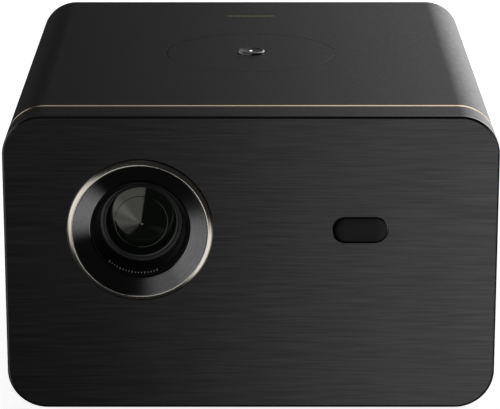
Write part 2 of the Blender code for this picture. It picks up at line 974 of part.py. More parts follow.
def cooling():
    """The finned heat sink, its heat pipe and the two exhaust fans."""
    pitch = (SINK_W - FIN_T) / (FINS - 1)
    top = SINK_H - SINK_BASE
    comb = [(-SINK_W / 2, -SINK_BASE), (SINK_W / 2, -SINK_BASE)]
    for i in reversed(range(FINS)):
        left = -SINK_W / 2 + i * pitch
        comb += [(left + FIN_T, 0), (left + FIN_T, top), (left, top), (left, 0)]
    comb = [point for i, point in enumerate(comb) if i not in (2, len(comb) - 1)]
    slab("heat_sink", "aluminium", [comb], SINK_D, (SINK_X, SINK_Y, SINK_Z + SINK_BASE), FORWARD)
    module_x = LENS_X + ENGINE_W / 2 + 2 * GAP + 7 * MM + 2.5 * MM
    tube(
        "heat_pipe",
        "copper",
        [
            Vector((module_x, ENGINE_Y - 26 * MM, LENS_Z)),
            Vector((module_x, ENGINE_Y + 22 * MM, LENS_Z)),
            Vector((module_x + 3 * MM, ENGINE_Y + 34 * MM, LENS_Z - 12 * MM)),
            Vector((10 * MM, SINK_Y - 29 * MM, SINK_Z + 2 * MM)),
            Vector((58 * MM, SINK_Y - 29.5 * MM, SINK_Z + 2.5 * MM)),
        ],
        2.4 * MM,
        4,
    )
    for label, side in (("left", -1), ("right", 1)):
        fan(label, side * FAN_X)


def sector_hole(index, count, inner, outer):
    """One opening of a spoked disc."""
    step = 360 / count
    start, end = index * step + 7, (index + 1) * step - 7
    return arc(0, 0, outer, start, end, 5) + arc(0, 0, inner, end - 8, start + 8, 3)


def fan(label, x):
    centre = Vector((x, FAN_Y, FAN_Z))
    frame = slab(
        f"fan_frame_{label}",
        "black_plastic",
        [rounded_rectangle(FAN_SIZE, FAN_SIZE, 4 * MM, 3), circle(FAN_DUCT_R, 32)],
        FAN_T,
        centre,
        FORWARD,
    )
    spider = slab(
        "spider",
        "black_plastic",
        [
            circle(FAN_DUCT_R + 0.6 * MM, 32),
            *(sector_hole(i, 4, FAN_HUB_R + 1 * MM, FAN_DUCT_R - 0.4 * MM) for i in range(4)),
        ],
        1.6 * MM,
        centre + BACKWARD * (FAN_T / 2 - 1.2 * MM),
        FORWARD,
    )
    join(frame, spider)

    hub = cylinder(
        f"fan_rotor_{label}",
        "black_plastic",
        FAN_HUB_R,
        11 * MM,
        centre + FORWARD * 1.4 * MM,
        FORWARD,
        20,
    )
    join(hub, fan_blades(centre + FORWARD * 1.4 * MM))


def fan_blades(centre):
    """Seven pitched blades as separate bodies, for joining to a hub."""
    work = bmesh.new()
    inner = FAN_HUB_R - 1 * MM
    length = FAN_BLADE_R - inner
    for i in range(FAN_BLADES):
        blade = bmesh.ops.create_cube(work, size=1)["verts"]
        size = Matrix.Diagonal((length, 10.5 * MM, 1.1 * MM, 1))
        pitch = Matrix.Rotation(math.radians(38), 4, "X")
        out = Matrix.Translation((inner + length / 2, 0, 0))
        spin = Matrix.Rotation(2 * math.pi * i / FAN_BLADES, 4, "Z")
        bmesh.ops.transform(work, matrix=spin @ out @ pitch @ size, verts=blade)
    mesh = bpy.data.meshes.new("blades")
    work.to_mesh(mesh)
    work.free()
    return put("blades", mesh, "black_plastic", centre, turn_to(FORWARD))


# ------------------------------------------------------------------------------- boards and ports


def main_board():
    """The board that carries the sockets."""
    board_y = PORT_FACE - 4 * MM - BOARD_D / 2
    box("main_board", "circuit_board", (BOARD_W, BOARD_D, BOARD_T), (0, board_y, BOARD_Z))


def port_block(name, x, size, mouth, mouth_depth):
    """A port's metal housing on the main board, open at the back of the projector."""
    width, length, height = size
    z = PORT_SEAT + height / 2
    housing = box(name, "steel", size, (x, PORT_FACE - length / 2, z))
    opening = box("mouth", "steel", (mouth[0], 2 * mouth_depth, mouth[1]), (x, PORT_FACE, z))
    cut(housing, opening)


def jack(name, x, size, bore_r, depth):
    """A round jack in a square housing."""
    length = 13 * MM
    z = PORT_SEAT + size / 2
    housing = box(name, "black_plastic", (size, length, size), (x, PORT_FACE - length / 2, z))
    bore = cylinder("bore", "black_plastic", bore_r, 2 * depth, (x, PORT_FACE, z), FORWARD, 16)
    cut(housing, bore)
    return housing


def power_inlet():
    """The low-voltage jack that the mains adapter plugs into, with its centre pin."""
    depth, pin_length = 9 * MM, 9.5 * MM
    housing = jack("power_jack", POWER_X, POWER_SIZE, 3.1 * MM, depth)
    middle = (POWER_X, PORT_FACE - depth - 1 * MM + pin_length / 2, PORT_SEAT + POWER_SIZE / 2)
    pin = cylinder("pin", "steel", 1.05 * MM, pin_length, middle, FORWARD, 10)
    join(housing, pin)


def ports():
    """The sockets on the back, and the plate that frames them."""
    power_inlet()
    jack("audio_jack", AUDIO_X, AUDIO_SIZE, 1.8 * MM, 10 * MM)
    holes = [(POWER_X, POWER_SIZE, POWER_SIZE), (AUDIO_X, AUDIO_SIZE, AUDIO_SIZE)]
    for i, x in enumerate(HDMI_X, 1):
        port_block(f"hdmi_port_{i}", x, HDMI_SIZE, HDMI_MOUTH, 10 * MM)
        holes.append((x, HDMI_SIZE[0], HDMI_SIZE[2]))
    for i, x in enumerate(USB_X, 1):
        port_block(f"usb_port_{i}", x, USB_SIZE, USB_MOUTH, 13 * MM)
        holes.append((x, USB_SIZE[0], USB_SIZE[2]))
    port_block("network_port", LAN_X, LAN_SIZE, LAN_MOUTH, 14 * MM)
    holes.append((LAN_X, LAN_SIZE[0], LAN_SIZE[2]))

    outlines = [rounded_rectangle(PORT_WINDOW_W - 2 * GAP, PORT_WINDOW_H - 2 * GAP, 3.7 * MM, 3)]
    for x, width, height in holes:
        cy = PORT_SEAT + height / 2 - PORT_WINDOW_Z
        outlines.append(rounded_rectangle(width + 2 * GAP, height + 2 * GAP, GAP, 1, x, cy))
    centre = (0, PORT_FACE - PORT_PLATE_T / 2, PORT_WINDOW_Z)
    slab("port_plate", "black_plastic", outlines, PORT_PLATE_T, centre, FORWARD)


# ---------------------------------------------------------------------------------------- speakers


def speaker(label, side):
    """A sealed box with a driver that faces the side grille."""
    outwards = Vector((side, 0, 0))
    thickness = SPEAKER_FACE - SPEAKER_BACK
    middle = side * (SPEAKER_FACE + SPEAKER_BACK) / 2
    cabinet = box(
        f"speaker_box_{label}",
        "black_plastic",
        (thickness, SPEAKER_D, SPEAKER_H),
        (middle, SPEAKER_Y, SPEAKER_Z),
    )
    face = Vector((side * SPEAKER_FACE, SPEAKER_Y, SPEAKER_Z))
    bevel(cabinet, 2 * MM)
    well = turned(
        "well",
        "black_plastic",
        [(0, 3 * MM), (WOOFER_R, 3 * MM), (WOOFER_R, -1.6 * MM), (12 * MM, -9 * MM), (0, -9 * MM)],
        face,
        outwards,
        steps=28,
    )
    cut(cabinet, well)
    turned(
        f"woofer_cone_{label}",
        "speaker_cone",
        [
            (0, -1.4 * MM),
            (6 * MM, -2.8 * MM),
            (17.5 * MM, 0.6 * MM),
            (20.5 * MM, 2.2 * MM),
            (WOOFER_R - GAP, 1 * MM),
            (WOOFER_R - GAP, 0.3 * MM),
            (17.5 * MM, -0.4 * MM),
            (6 * MM, -4.2 * MM),
            (0, -4.2 * MM),
        ],
        face,
        outwards,
        steps=28,
    )


# ---------------------------------------------------------------------------------------- assembly


clear_scene()
PROJECTOR = new_collection("home_projector")
CUTTERS = new_collection("cutters")
PAINTS = {name: make_material(name) for name in MATERIALS}

front_of_body()
shell()
side_grille("side_grille_left", -1)
side_grille("side_grille_right", 1)
rear_of_body()
base()
lens_front()
lens_group()
focus_drive()
top_controls()
sensor()
engine()
cooling()
main_board()
ports()
speaker("left", -1)
speaker("right", 1)
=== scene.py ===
"""Looks of the home projector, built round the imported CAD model.

Everything is in metres in the model's frame: +Z up, the front faces -Y and X runs to the right
seen from the front. Places and sizes come from the CAD nodes' boxes.
"""

import math

import bmesh
import bpy
from mathutils import Matrix, Vector


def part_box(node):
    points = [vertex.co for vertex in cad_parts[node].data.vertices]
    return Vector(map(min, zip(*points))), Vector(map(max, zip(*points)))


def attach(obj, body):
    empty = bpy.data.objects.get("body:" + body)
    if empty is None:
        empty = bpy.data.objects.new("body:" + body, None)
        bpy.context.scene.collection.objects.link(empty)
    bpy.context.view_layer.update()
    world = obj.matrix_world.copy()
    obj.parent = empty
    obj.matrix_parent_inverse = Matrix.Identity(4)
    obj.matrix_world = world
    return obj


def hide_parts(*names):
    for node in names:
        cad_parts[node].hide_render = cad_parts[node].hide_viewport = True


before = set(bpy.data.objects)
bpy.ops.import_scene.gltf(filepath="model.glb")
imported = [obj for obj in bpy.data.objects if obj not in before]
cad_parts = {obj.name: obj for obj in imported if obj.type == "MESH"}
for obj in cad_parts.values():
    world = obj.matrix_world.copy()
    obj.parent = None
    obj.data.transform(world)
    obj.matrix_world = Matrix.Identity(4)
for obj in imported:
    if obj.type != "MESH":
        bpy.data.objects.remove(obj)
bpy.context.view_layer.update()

MM = 0.001


def middle(node):
    """The middle of a CAD node's box at rest."""
    low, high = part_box(node)
    return (Vector(low) + Vector(high)) / 2


def extent(node):
    """The size of a CAD node's box."""
    low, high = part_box(node)
    return Vector(high) - Vector(low)


# The body, read from the frame
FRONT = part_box("front_panel")[0][1]
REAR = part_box("main_shell")[1][1]
LEFT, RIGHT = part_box("main_shell")[0][0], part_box("main_shell")[1][0]
BOTTOM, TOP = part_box("main_shell")[0][2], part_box("main_shell")[1][2]
BODY_W, BODY_H = RIGHT - LEFT, TOP - BOTTOM
MID_Z = (BOTTOM + TOP) / 2
CORNER_R = 16.6 * MM
CORNER_STEPS = 22
WALL = 2.2 * MM
GAP = 0.3 * MM
LENS_HOLE_R = 27.3 * MM
CUTTER_DEPTH = 20 * MM

# Points on the body's surface: the middle of the lens and of the touch disc
LENS = middle("lens_bezel")
LENS.y = FRONT
DISC = middle("touch_disc")
DISC.z = TOP

# Rotations that carry local +Z to a direction and keep flat pieces upright
FACE_FRONT = Matrix.Rotation(math.radians(90), 4, "X")
FACE_BACK = Matrix.Rotation(math.radians(-90), 4, "X")
FACE_RIGHT = Matrix.Rotation(math.radians(90), 4, "Z") @ FACE_FRONT
FACE_LEFT = FACE_RIGHT @ Matrix.Rotation(math.radians(180), 4, "Y")
FACE_UP = Matrix.Identity(4)
FACE_SIDE = {-1: FACE_LEFT, 1: FACE_RIGHT}
SIDES = (("left", -1), ("right", 1))

SOCKETS = (
    "power_jack",
    "hdmi_port_1",
    "hdmi_port_2",
    "usb_port_1",
    "usb_port_2",
    "network_port",
    "audio_jack",
)


# ---------------------------------------------------------------------------------- materials


class Tree:
    """A node tree, and short ways to add to it."""

    def __init__(self, tree):
        self.nodes, self.links = tree.nodes, tree.links

    def feed(self, socket, value):
        """Links another node's output to a socket, or gives the socket a constant."""
        if isinstance(value, bpy.types.NodeSocket):
            self.links.new(value, socket)
        else:
            socket.default_value = value

    def add(self, kind, inputs=None, **settings):
        node = self.nodes.new(kind)
        for name, value in settings.items():
            setattr(node, name, value)
        for name, value in (inputs or {}).items():
            self.feed(node.inputs[name], value)
        return node

    def math(self, operation, first, second):
        return self.add("ShaderNodeMath", {0: first, 1: second}, operation=operation).outputs[0]

    def ranged(self, value, from_low, from_high, to_low, to_high, curve="LINEAR"):
        """The value carried from one range to another and kept inside it."""
        inputs = {
            "Value": value,
            "From Min": from_low,
            "From Max": from_high,
            "To Min": to_low,
            "To Max": to_high,
        }
        return self.add("ShaderNodeMapRange", inputs, interpolation_type=curve).outputs["Result"]


class Look(Tree):
    """A Principled material, and short ways to vary it over the surface."""

    def __init__(self, name, colour, roughness, metallic=0.0, sockets=None):
        self.material = bpy.data.materials.new(name)
        self.material.use_nodes = True
        super().__init__(self.material.node_tree)
        self.shader = self.nodes["Principled BSDF"]
        self.shader.inputs["Base Color"].default_value = (*colour, 1)
        self.shader.inputs["Roughness"].default_value = roughness
        self.shader.inputs["Metallic"].default_value = metallic
        for socket, value in (sockets or {}).items():
            self.shader.inputs[socket].default_value = value
        self.place = self.add("ShaderNodeTexCoord").outputs["Object"]
        self.normal = None

    def set(self, socket, value):
        self.links.new(value, self.shader.inputs[socket])

    def stretched(self, scale, location=(0, 0, 0)):
        inputs = {"Vector": self.place, "Scale": scale, "Location": location}
        return self.add("ShaderNodeMapping", inputs).outputs["Vector"]

    def noise(self, scale, detail=3.0, vector=None, roughness=0.5):
        inputs = {"Scale": scale, "Detail": detail, "Roughness": roughness}
        inputs["Vector"] = vector or self.place
        return self.add("ShaderNodeTexNoise", inputs).outputs["Fac"]

    def cells(self, scale):
        inputs = {"Scale": scale, "Vector": self.place}
        return self.add("ShaderNodeTexVoronoi", inputs).outputs["Distance"]

    def mixed(self, factor, first, second):
        node = self.add("ShaderNodeMix", data_type="RGBA")
        self.feed(node.inputs[0], factor)
        for socket, value in ((node.inputs[6], first), (node.inputs[7], second)):
            constant = not isinstance(value, bpy.types.NodeSocket)
            self.feed(socket, (*value, 1) if constant else value)
        return node.outputs[2]

    def colour(self, value, low, high, first, second, most=1.0):
        """Takes the base colour from the first to the second, or part of the way, by a value."""
        self.set("Base Color", self.mixed(self.ranged(value, low, high, 0, most), first, second))

    def gloss(self, value, low, high, start=0.3, end=0.7):
        """Takes the roughness from low to high as a value goes from start to end."""
        self.set("Roughness", self.ranged(value, start, end, low, high))

    def relief(self, height, depth):
        """Adds bumps of a depth in metres to what is there already."""
        inputs = {"Height": height, "Distance": depth, "Strength": 1.0}
        if self.normal:
            inputs["Normal"] = self.normal
        self.normal = self.add("ShaderNodeBump", inputs).outputs["Normal"]
        self.set("Normal", self.normal)

    def grain_round(self, axis):
        """Lays the anisotropic grain in circles round an axis through the piece's middle."""
        tangent = self.add("ShaderNodeTangent", direction_type="RADIAL", axis=axis).outputs[0]
        self.set("Tangent", tangent)


def brighter(colour, factor, lift=0.0):
    return tuple(min(channel * factor + lift, 1) for channel in colour)


def painted(name, colour, roughness):
    """Satin paint on metal: a fine orange peel, a little unevenness and faint dust."""
    look = Look(name, colour, roughness, 0.0, {"Specular IOR Level": 0.5})
    cloud = look.noise(26, 3)
    speck = look.noise(9000, 2)
    shade = look.ranged(cloud, 0.3, 0.7, 0.93, 1.07)
    grain = look.math("MULTIPLY", shade, look.ranged(speck, 0.25, 0.75, 0.88, 1.12))
    look.colour(grain, 0.8, 1.6, colour, brighter(colour, 1.5))
    look.gloss(look.noise(420, 4), roughness - 0.03, roughness + 0.04)
    look.relief(speck, 0.012 * MM)
    look.relief(look.noise(1300, 2), 0.0096 * MM)
    return look.material


def brushed():
    """Dark anodised sheet with long brush strokes along X."""
    dark, light = (0.0405, 0.0405, 0.041), (0.0635, 0.0632, 0.0627)
    look = Look("brushed_panel", dark, 0.22, 1.0, {"Anisotropic": 0.7, "Anisotropic Rotation": 0.25})
    hair = look.noise(1, 2, look.stretched((60, 1, 6000)))
    stroke = look.noise(1, 3, look.stretched((36, 1, 1900), (3, 0, 0)), 0.6)
    band = look.noise(1, 2, look.stretched((8, 1, 420), (7, 0, 0)))
    mix = look.math("ADD", look.math("MULTIPLY", hair, 0.33), look.math("MULTIPLY", stroke, 0.57))
    mix = look.math("ADD", mix, look.math("MULTIPLY", band, 0.10))
    look.colour(mix, 0.40, 0.60, dark, light)
    look.gloss(stroke, 0.215, 0.235)
    look.relief(hair, 0.0015 * MM)
    look.relief(stroke, 0.002 * MM)
    look.grain_round("Z")
    return look.material


def turned_metal(name, colour, roughness, anisotropy, centre, axis="Y", pitch=0.16 * MM):
    """Metal turned on a lathe: fine grooves in circles round an axis, Y or Z, through a centre."""
    sockets = {"Anisotropic": anisotropy, "Anisotropic Rotation": 0.25}
    look = Look(name, colour, roughness, 1.0, sockets)
    kind = "ShaderNodeVectorMath"
    offset = look.add(kind, {0: look.place, 1: centre}, operation="SUBTRACT").outputs[0]
    flat = {"Y": (1, 0, 1), "Z": (1, 1, 0)}[axis]
    across = look.add(kind, {0: offset, 1: flat}, operation="MULTIPLY").outputs[0]
    radius = look.add(kind, {0: across}, operation="LENGTH").outputs["Value"]
    turns = look.add("ShaderNodeCombineXYZ", {0: look.math("DIVIDE", radius, pitch)}).outputs[0]
    rings = look.noise(1, 2, turns)
    wander = look.noise(700, 2)
    tone = look.math("ADD", look.math("MULTIPLY", rings, 0.8), look.math("MULTIPLY", wander, 0.2))
    look.colour(tone, 0.3, 0.7, brighter(colour, 0.72), brighter(colour, 1.45))
    look.gloss(rings, roughness - 0.03, roughness + 0.03)
    look.relief(rings, 0.006 * MM)
    look.grain_round(axis)
    return look.material


def polished_metal(name, colour, roughness):
    """Polished anodised metal with hairline scratches and slight cloudiness."""
    look = Look(name, colour, roughness, 1.0)
    look.colour(look.noise(60, 4), 0.3, 0.7, brighter(colour, 0.86), colour)
    look.gloss(look.noise(900, 3), roughness - 0.03, roughness + 0.06)
    look.relief(look.noise(2600, 2), 0.003 * MM)
    return look.material


def plastic(name, colour, roughness, grain=2400, depth=0.03 * MM, specular=0.5):
    """Moulded plastic with a spark-eroded grain, a little lighter on its high spots."""
    look = Look(name, colour, roughness, 0.0, {"Specular IOR Level": specular})
    pits = look.noise(grain * 1.7, 3)
    look.colour(pits, 0.3, 0.75, colour, brighter(colour, 1.5, 0.003), 0.7)
    look.gloss(look.noise(35, 3), roughness - 0.05, roughness + 0.05)
    look.relief(look.cells(grain), depth)
    look.relief(pits, depth * 0.6)
    return look.material


def glossy(name, colour, roughness=0.06, coat=0.6, specular=0.5):
    """Polished plastic with faint wiping marks."""
    sockets = {"Coat Weight": coat, "Coat Roughness": 0.03, "Specular IOR Level": specular}
    look = Look(name, colour, roughness, 0.0, sockets)
    smear = look.noise(1, 3, look.stretched((90, 90, 340)))
    look.gloss(smear, roughness, roughness + 0.08, 0.35, 0.75)
    look.colour(look.noise(50, 3), 0.3, 0.8, colour, brighter(colour, 1.6, 0.001), 0.5)
    return look.material


def lens_glass():
    """Dark coated glass: black-green in itself, with clear reflections."""
    sockets = {"IOR": 1.5, "Specular IOR Level": 0.8, "Specular Tint": (1.0, 0.99, 0.91, 1)}
    look = Look("lens_glass", (0.005, 0.007, 0.006), 0.02, 0.0, sockets)
    tint = look.mixed(look.noise(90, 2), (0.004, 0.008, 0.006), (0.006, 0.007, 0.005))
    look.set("Base Color", tint)
    look.gloss(look.noise(300, 2), 0.01, 0.04)
    return look.material


def coated_element():
    """Nearly black coated glass, its tint shifting across its face."""
    look = Look("coated_element", (0.05, 0.06, 0.055), 0.05, 1.0)
    look.colour(look.noise(45, 1), 0.35, 0.65, (0.0045, 0.0055, 0.0045), (0.0030, 0.0060, 0.0050))
    look.gloss(look.noise(120, 2), 0.04, 0.06)
    return look.material


def rubber():
    """Matt rubber with dust in its grain."""
    look = Look("foot_rubber", (0.017, 0.017, 0.018), 0.78, 0.0, {"Specular IOR Level": 0.35})
    dust = look.noise(180, 5)
    look.colour(dust, 0.45, 0.8, (0.015, 0.015, 0.016), (0.05, 0.048, 0.046), 0.6)
    look.relief(look.noise(3200, 3), 0.03 * MM)
    look.gloss(dust, 0.7, 0.86)
    return look.material


def bare_metal(name, colour, roughness, grain=(900, 60, 900)):
    """Sheet or drawn metal with a short directional grain."""
    look = Look(name, colour, roughness, 1.0)
    streak = look.noise(1, 3, look.stretched(grain))
    look.colour(streak, 0.3, 0.7, brighter(colour, 0.72), colour)
    look.gloss(streak, roughness - 0.07, roughness + 0.09)
    look.relief(streak, 0.006 * MM)
    return look.material


def circuit_board():
    """Green solder mask over copper tracks, with rows of small pads."""
    sockets = {"Coat Weight": 0.4, "Coat Roughness": 0.2}
    look = Look("circuit_board", (0.012, 0.10, 0.05), 0.35, 0.0, sockets)
    layout = {"Scale": 90.0, "Mortar Size": 0.03, "Brick Width": 0.7, "Row Height": 0.22}
    tracks = look.add("ShaderNodeTexBrick", {"Vector": look.place, **layout}).outputs["Fac"]
    pads = look.ranged(look.cells(330), 0.16, 0.2, 1, 0)
    mask = look.mixed(tracks, (0.010, 0.085, 0.042), (0.022, 0.16, 0.075))
    look.set("Base Color", look.mixed(pads, mask, (0.55, 0.42, 0.2)))
    look.relief(tracks, 0.04 * MM)
    return look.material


def pressed_cone():
    """Pulp-like speaker cone with fine ribs."""
    look = Look("speaker_pulp", (0.028, 0.028, 0.029), 0.8, 0.0, {"Sheen Weight": 0.3})
    fibre = look.noise(2100, 4)
    look.colour(fibre, 0.3, 0.7, (0.02, 0.02, 0.021), (0.045, 0.045, 0.046))
    look.relief(fibre, 0.08 * MM)
    return look.material


def glowing(name, colour, strength):
    """A frosted light, lit from behind."""
    sockets = {"Emission Color": (*colour, 1), "Emission Strength": strength}
    look = Look(name, colour, 0.3, 0.0, sockets)
    look.gloss(look.noise(4000, 2), 0.25, 0.45)
    return look.material


LOOKS = {
    "paint": painted("satin_paint", (0.008, 0.008, 0.0082), 0.36),
    "brushed": brushed(),
    "champagne": polished_metal("champagne", (0.78, 0.63, 0.47), 0.17),
    "badge": polished_metal("badge_gold", (0.30, 0.25, 0.16), 0.35),
    "funnel": turned_metal("turned_dark", (0.115, 0.115, 0.117), 0.13, 0.4, LENS, pitch=0.42 * MM),
    "crest": polished_metal("crest_metal", (0.72, 0.67, 0.60), 0.14),
    "button": turned_metal("button_metal", (0.24, 0.24, 0.245), 0.26, 0.6, DISC, "Z", 0.12 * MM),
    "gloss": glossy("gloss_black", (0.006, 0.006, 0.0065)),
    "window": glossy("window_black", (0.0008, 0.0008, 0.0009), 0.04, 0.0, 0.1),
    "matt": plastic("matt_black", (0.014, 0.014, 0.0145), 0.55),
    "keeper": plastic("keeper_black", (0.009, 0.0105, 0.0095), 0.3, 3200, 0.006 * MM, 0.5),
    "hood": plastic("hood_black", (0.0025, 0.0025, 0.0027), 0.40, 3200, 0.006 * MM, 0.15),
    "inside": plastic("inner_black", (0.020, 0.020, 0.0205), 0.62, 1500, 0.04 * MM),
    "glass": lens_glass(),
    "element": coated_element(),
    "rubber": rubber(),
    "steel": bare_metal("plated_steel", (0.60, 0.60, 0.61), 0.28),
    "aluminium": bare_metal("bare_aluminium", (0.72, 0.73, 0.74), 0.38, (1300, 90, 1300)),
    "brass": turned_metal("turned_brass", (0.70, 0.53, 0.27), 0.28, 0.4, (0, 0, 0), "Z"),
    "gold": bare_metal("gold_contact", (0.83, 0.62, 0.28), 0.22),
    "copper": bare_metal("bare_copper", (0.72, 0.40, 0.26), 0.3),
    "board": circuit_board(),
    "cone": pressed_cone(),
    "print": plastic("pale_print", (0.80, 0.72, 0.64), 0.5, 3000, 0.005 * MM),
    "white_light": glowing("white_light", (0.9, 0.93, 1.0), 2.2),
    "tongue": plastic("socket_tongue", (0.011, 0.011, 0.012), 0.5, 2600, 0.01 * MM),
}


# ------------------------------------------------------------------------------------- shapes


def mesh_from(work, name):
    bmesh.ops.remove_doubles(work, verts=work.verts, dist=1e-7)
    bmesh.ops.recalc_face_normals(work, faces=work.faces)
    mesh = bpy.data.meshes.new(name)
    work.to_mesh(mesh)
    work.free()
    return smoothed(mesh)


def smoothed(mesh):
    mesh.shade_smooth()
    mesh.set_sharp_from_angle(angle=math.radians(35))
    return mesh


def scaled(points):
    """Points in millimetres, in metres."""
    return [(x * MM, y * MM) for x, y in points]


def arc(cx, cy, radius, start, end, steps):
    """Points along an arc between two angles in degrees."""
    angles = [math.radians(start + (end - start) * i / steps) for i in range(steps + 1)]
    return [(cx + radius * math.cos(a), cy + radius * math.sin(a)) for a in angles]


def circle(radius, steps=64, cx=0.0, cy=0.0):
    return arc(cx, cy, radius, 0, 360 - 360 / steps, steps - 1)


def rounded(width, height, radius, steps=8, cx=0.0, cy=0.0):
    """A rounded rectangle, anticlockwise."""
    dx, dy = width / 2 - radius, height / 2 - radius
    points = []
    for i, (sx, sy) in enumerate(((1, -1), (1, 1), (-1, 1), (-1, -1))):
        points += arc(cx + sx * dx, cy + sy * dy, radius, i * 90 - 90, i * 90, steps)
    return points


def pill(width, height, cx=0.0, cy=0.0, steps=12):
    radius = min(width, height) / 2
    return rounded(width, height, radius * 0.999, steps, cx, cy)


def slots(count, pitch, width, height, cx=0.0, cy=0.0, bow=0.0):
    """Upright round-ended slots in a row. A bow makes the outer ones shorter."""
    outlines = []
    for i in range(count):
        across = i - (count - 1) / 2
        length = height - bow * (2 * across / (count - 1)) ** 2
        outlines.append(pill(width, length, cx + pitch * across, cy, 4))
    return outlines


def softened(points, radius, steps=3, closed=False):
    """The outline with each of its corners rounded by a short curve."""
    soft = []
    count = len(points)
    for i in range(count):
        before, at, after = (Vector(points[(i + k) % count]) for k in (-1, 0, 1))
        if not closed and i in (0, count - 1):
            soft.append(at)
            continue
        reach = min(radius, (before - at).length / 2.1, (after - at).length / 2.1)
        start = at + (before - at).normalized() * reach
        end = at + (after - at).normalized() * reach
        for t in (k / steps for k in range(steps + 1)):
            soft.append(start * (1 - t) ** 2 + at * 2 * t * (1 - t) + end * t * t)
    return [tuple(point) for point in soft]


def loft(name, rings, closed=False):
    """A skin over outlines that have the same number of points, capped unless it is closed."""
    work = bmesh.new()
    loops = [[work.verts.new(point) for point in ring] for ring in rings]
    pairs = list(zip(loops, loops[1:]))
    if closed:
        pairs.append((loops[-1], loops[0]))
    else:
        work.faces.new(loops[0])
        work.faces.new(loops[-1])
    for first, second in pairs:
        for i in range(len(first)):
            work.faces.new((first[i - 1], first[i], second[i], second[i - 1]))
    return mesh_from(work, name)


def body_loft(name, profile, closed=True):
    """A skin with the body's rounded section. The profile gives insets and depths behind the front."""
    rings = []
    for inset, depth in profile:
        outline = rounded(BODY_W - 2 * inset, BODY_H - 2 * inset, CORNER_R - inset, CORNER_STEPS)
        rings.append([(x, FRONT + depth, MID_Z + z) for x, z in outline])
    return loft(name, rings, closed)


def turned(name, profile, place, facing, steps=96, closed=False):
    """A turned skin. The profile's (radius, height) points have heights along the facing."""
    work = bmesh.new()
    points = [work.verts.new((radius, 0, height)) for radius, height in profile]
    edges = [work.edges.new(pair) for pair in zip(points, points[1:])]
    if closed:
        edges.append(work.edges.new((points[-1], points[0])))
    bmesh.ops.spin(
        work, geom=points + edges, cent=(0, 0, 0), axis=(0, 0, 1), angle=math.tau, steps=steps
    )
    bmesh.ops.remove_doubles(work, verts=work.verts, dist=1e-6)
    work.transform(Matrix.Translation(place) @ facing)
    return mesh_from(work, name)


def ring(name, profile, soft, place, facing, steps, softness=2):
    """A turned ring from a closed profile in millimetres, with softened corners."""
    outline = softened(scaled(profile), soft * MM, softness, True)
    return turned(name, outline, place, facing, steps, True)


def plate(name, outlines, thickness, place, facing, edge=0.15 * MM):
    """A flat piece with holes and rounded edges, centred on its thickness."""
    curve = bpy.data.curves.new(name, "CURVE")
    curve.dimensions = "2D"
    curve.fill_mode = "BOTH"
    curve.extrude = thickness / 2 - edge
    curve.bevel_depth = edge
    curve.bevel_resolution = 1
    curve.offset = -edge
    for points in outlines:
        spline = curve.splines.new("POLY")
        spline.points.add(len(points) - 1)
        for corner, (x, y) in zip(spline.points, points):
            corner.co = (x, y, 0, 1)
        spline.use_cyclic_u = True
    guide = linked(bpy.data.objects.new(name, curve))
    work = bmesh.new()
    work.from_mesh(evaluated(guide))
    bpy.data.objects.remove(guide)
    work.transform(Matrix.Translation(place) @ facing)
    bmesh.ops.remove_doubles(work, verts=work.verts, dist=1e-6)
    bmesh.ops.dissolve_degenerate(work, dist=1e-6, edges=work.edges)
    return mesh_from(work, name)


def linked(obj):
    bpy.context.scene.collection.objects.link(obj)
    return obj


def evaluated(obj):
    """The object's mesh after its modifiers."""
    bpy.context.view_layer.update()
    graph = bpy.context.evaluated_depsgraph_get()
    return bpy.data.meshes.new_from_object(obj.evaluated_get(graph))


def carved(name, mesh, cutters, edge=0.0):
    """The mesh with the cutters taken out of it, and its sharp edges broken."""
    body = linked(bpy.data.objects.new(name, mesh))
    tools = [linked(bpy.data.objects.new("cutter", cutter)) for cutter in cutters]
    for tool in tools:
        modifier = body.modifiers.new("cut", "BOOLEAN")
        modifier.object = tool
    if edge:
        modifier = body.modifiers.new("edge", "BEVEL")
        modifier.width = edge
        modifier.segments = 2
        modifier.limit_method = "ANGLE"
        modifier.angle_limit = math.radians(60)
    result = evaluated(body)
    for obj in (body, *tools):
        bpy.data.objects.remove(obj)
    return smoothed(result)


def joined(name, *meshes):
    """One mesh of several closed ones."""
    work = bmesh.new()
    for mesh in meshes:
        work.from_mesh(mesh)
    return mesh_from(work, name)


def bar(name, size, place, edge=0.2 * MM):
    """A block with rounded edges."""
    work = bmesh.new()
    bmesh.ops.create_cube(work, size=1, matrix=Matrix.Diagonal((*size, 1)))
    bmesh.ops.bevel(work, geom=work.edges[:], offset=edge, segments=2, profile=0.5, affect="EDGES")
    work.transform(Matrix.Translation(place))
    return mesh_from(work, name)


def rod(name, radius, length, place, facing, steps=24, edge=0.1 * MM):
    """A round bar with rounded ends, centred on its length."""
    half = length / 2
    profile = softened([(0, half), (radius, half), (radius, -half), (0, -half)], edge)
    return turned(name, profile, place, facing, steps)


def show(name, mesh, look, body="casing", nodes=()):
    """Adds a piece in its material. It rides a body and stands for the nodes."""
    piece = linked(bpy.data.objects.new(name, mesh))
    modifier = piece.modifiers.new("flat faces", "WEIGHTED_NORMAL")
    modifier.keep_sharp = True
    piece.data = evaluated(piece)
    piece.modifiers.clear()
    piece.data.name = name
    piece.data.materials.clear()
    piece.data.materials.append(LOOKS[look])
    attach(piece, body)
    if nodes:
        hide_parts(*nodes)
    return piece


# -------------------------------------------------------------------------------------- casing


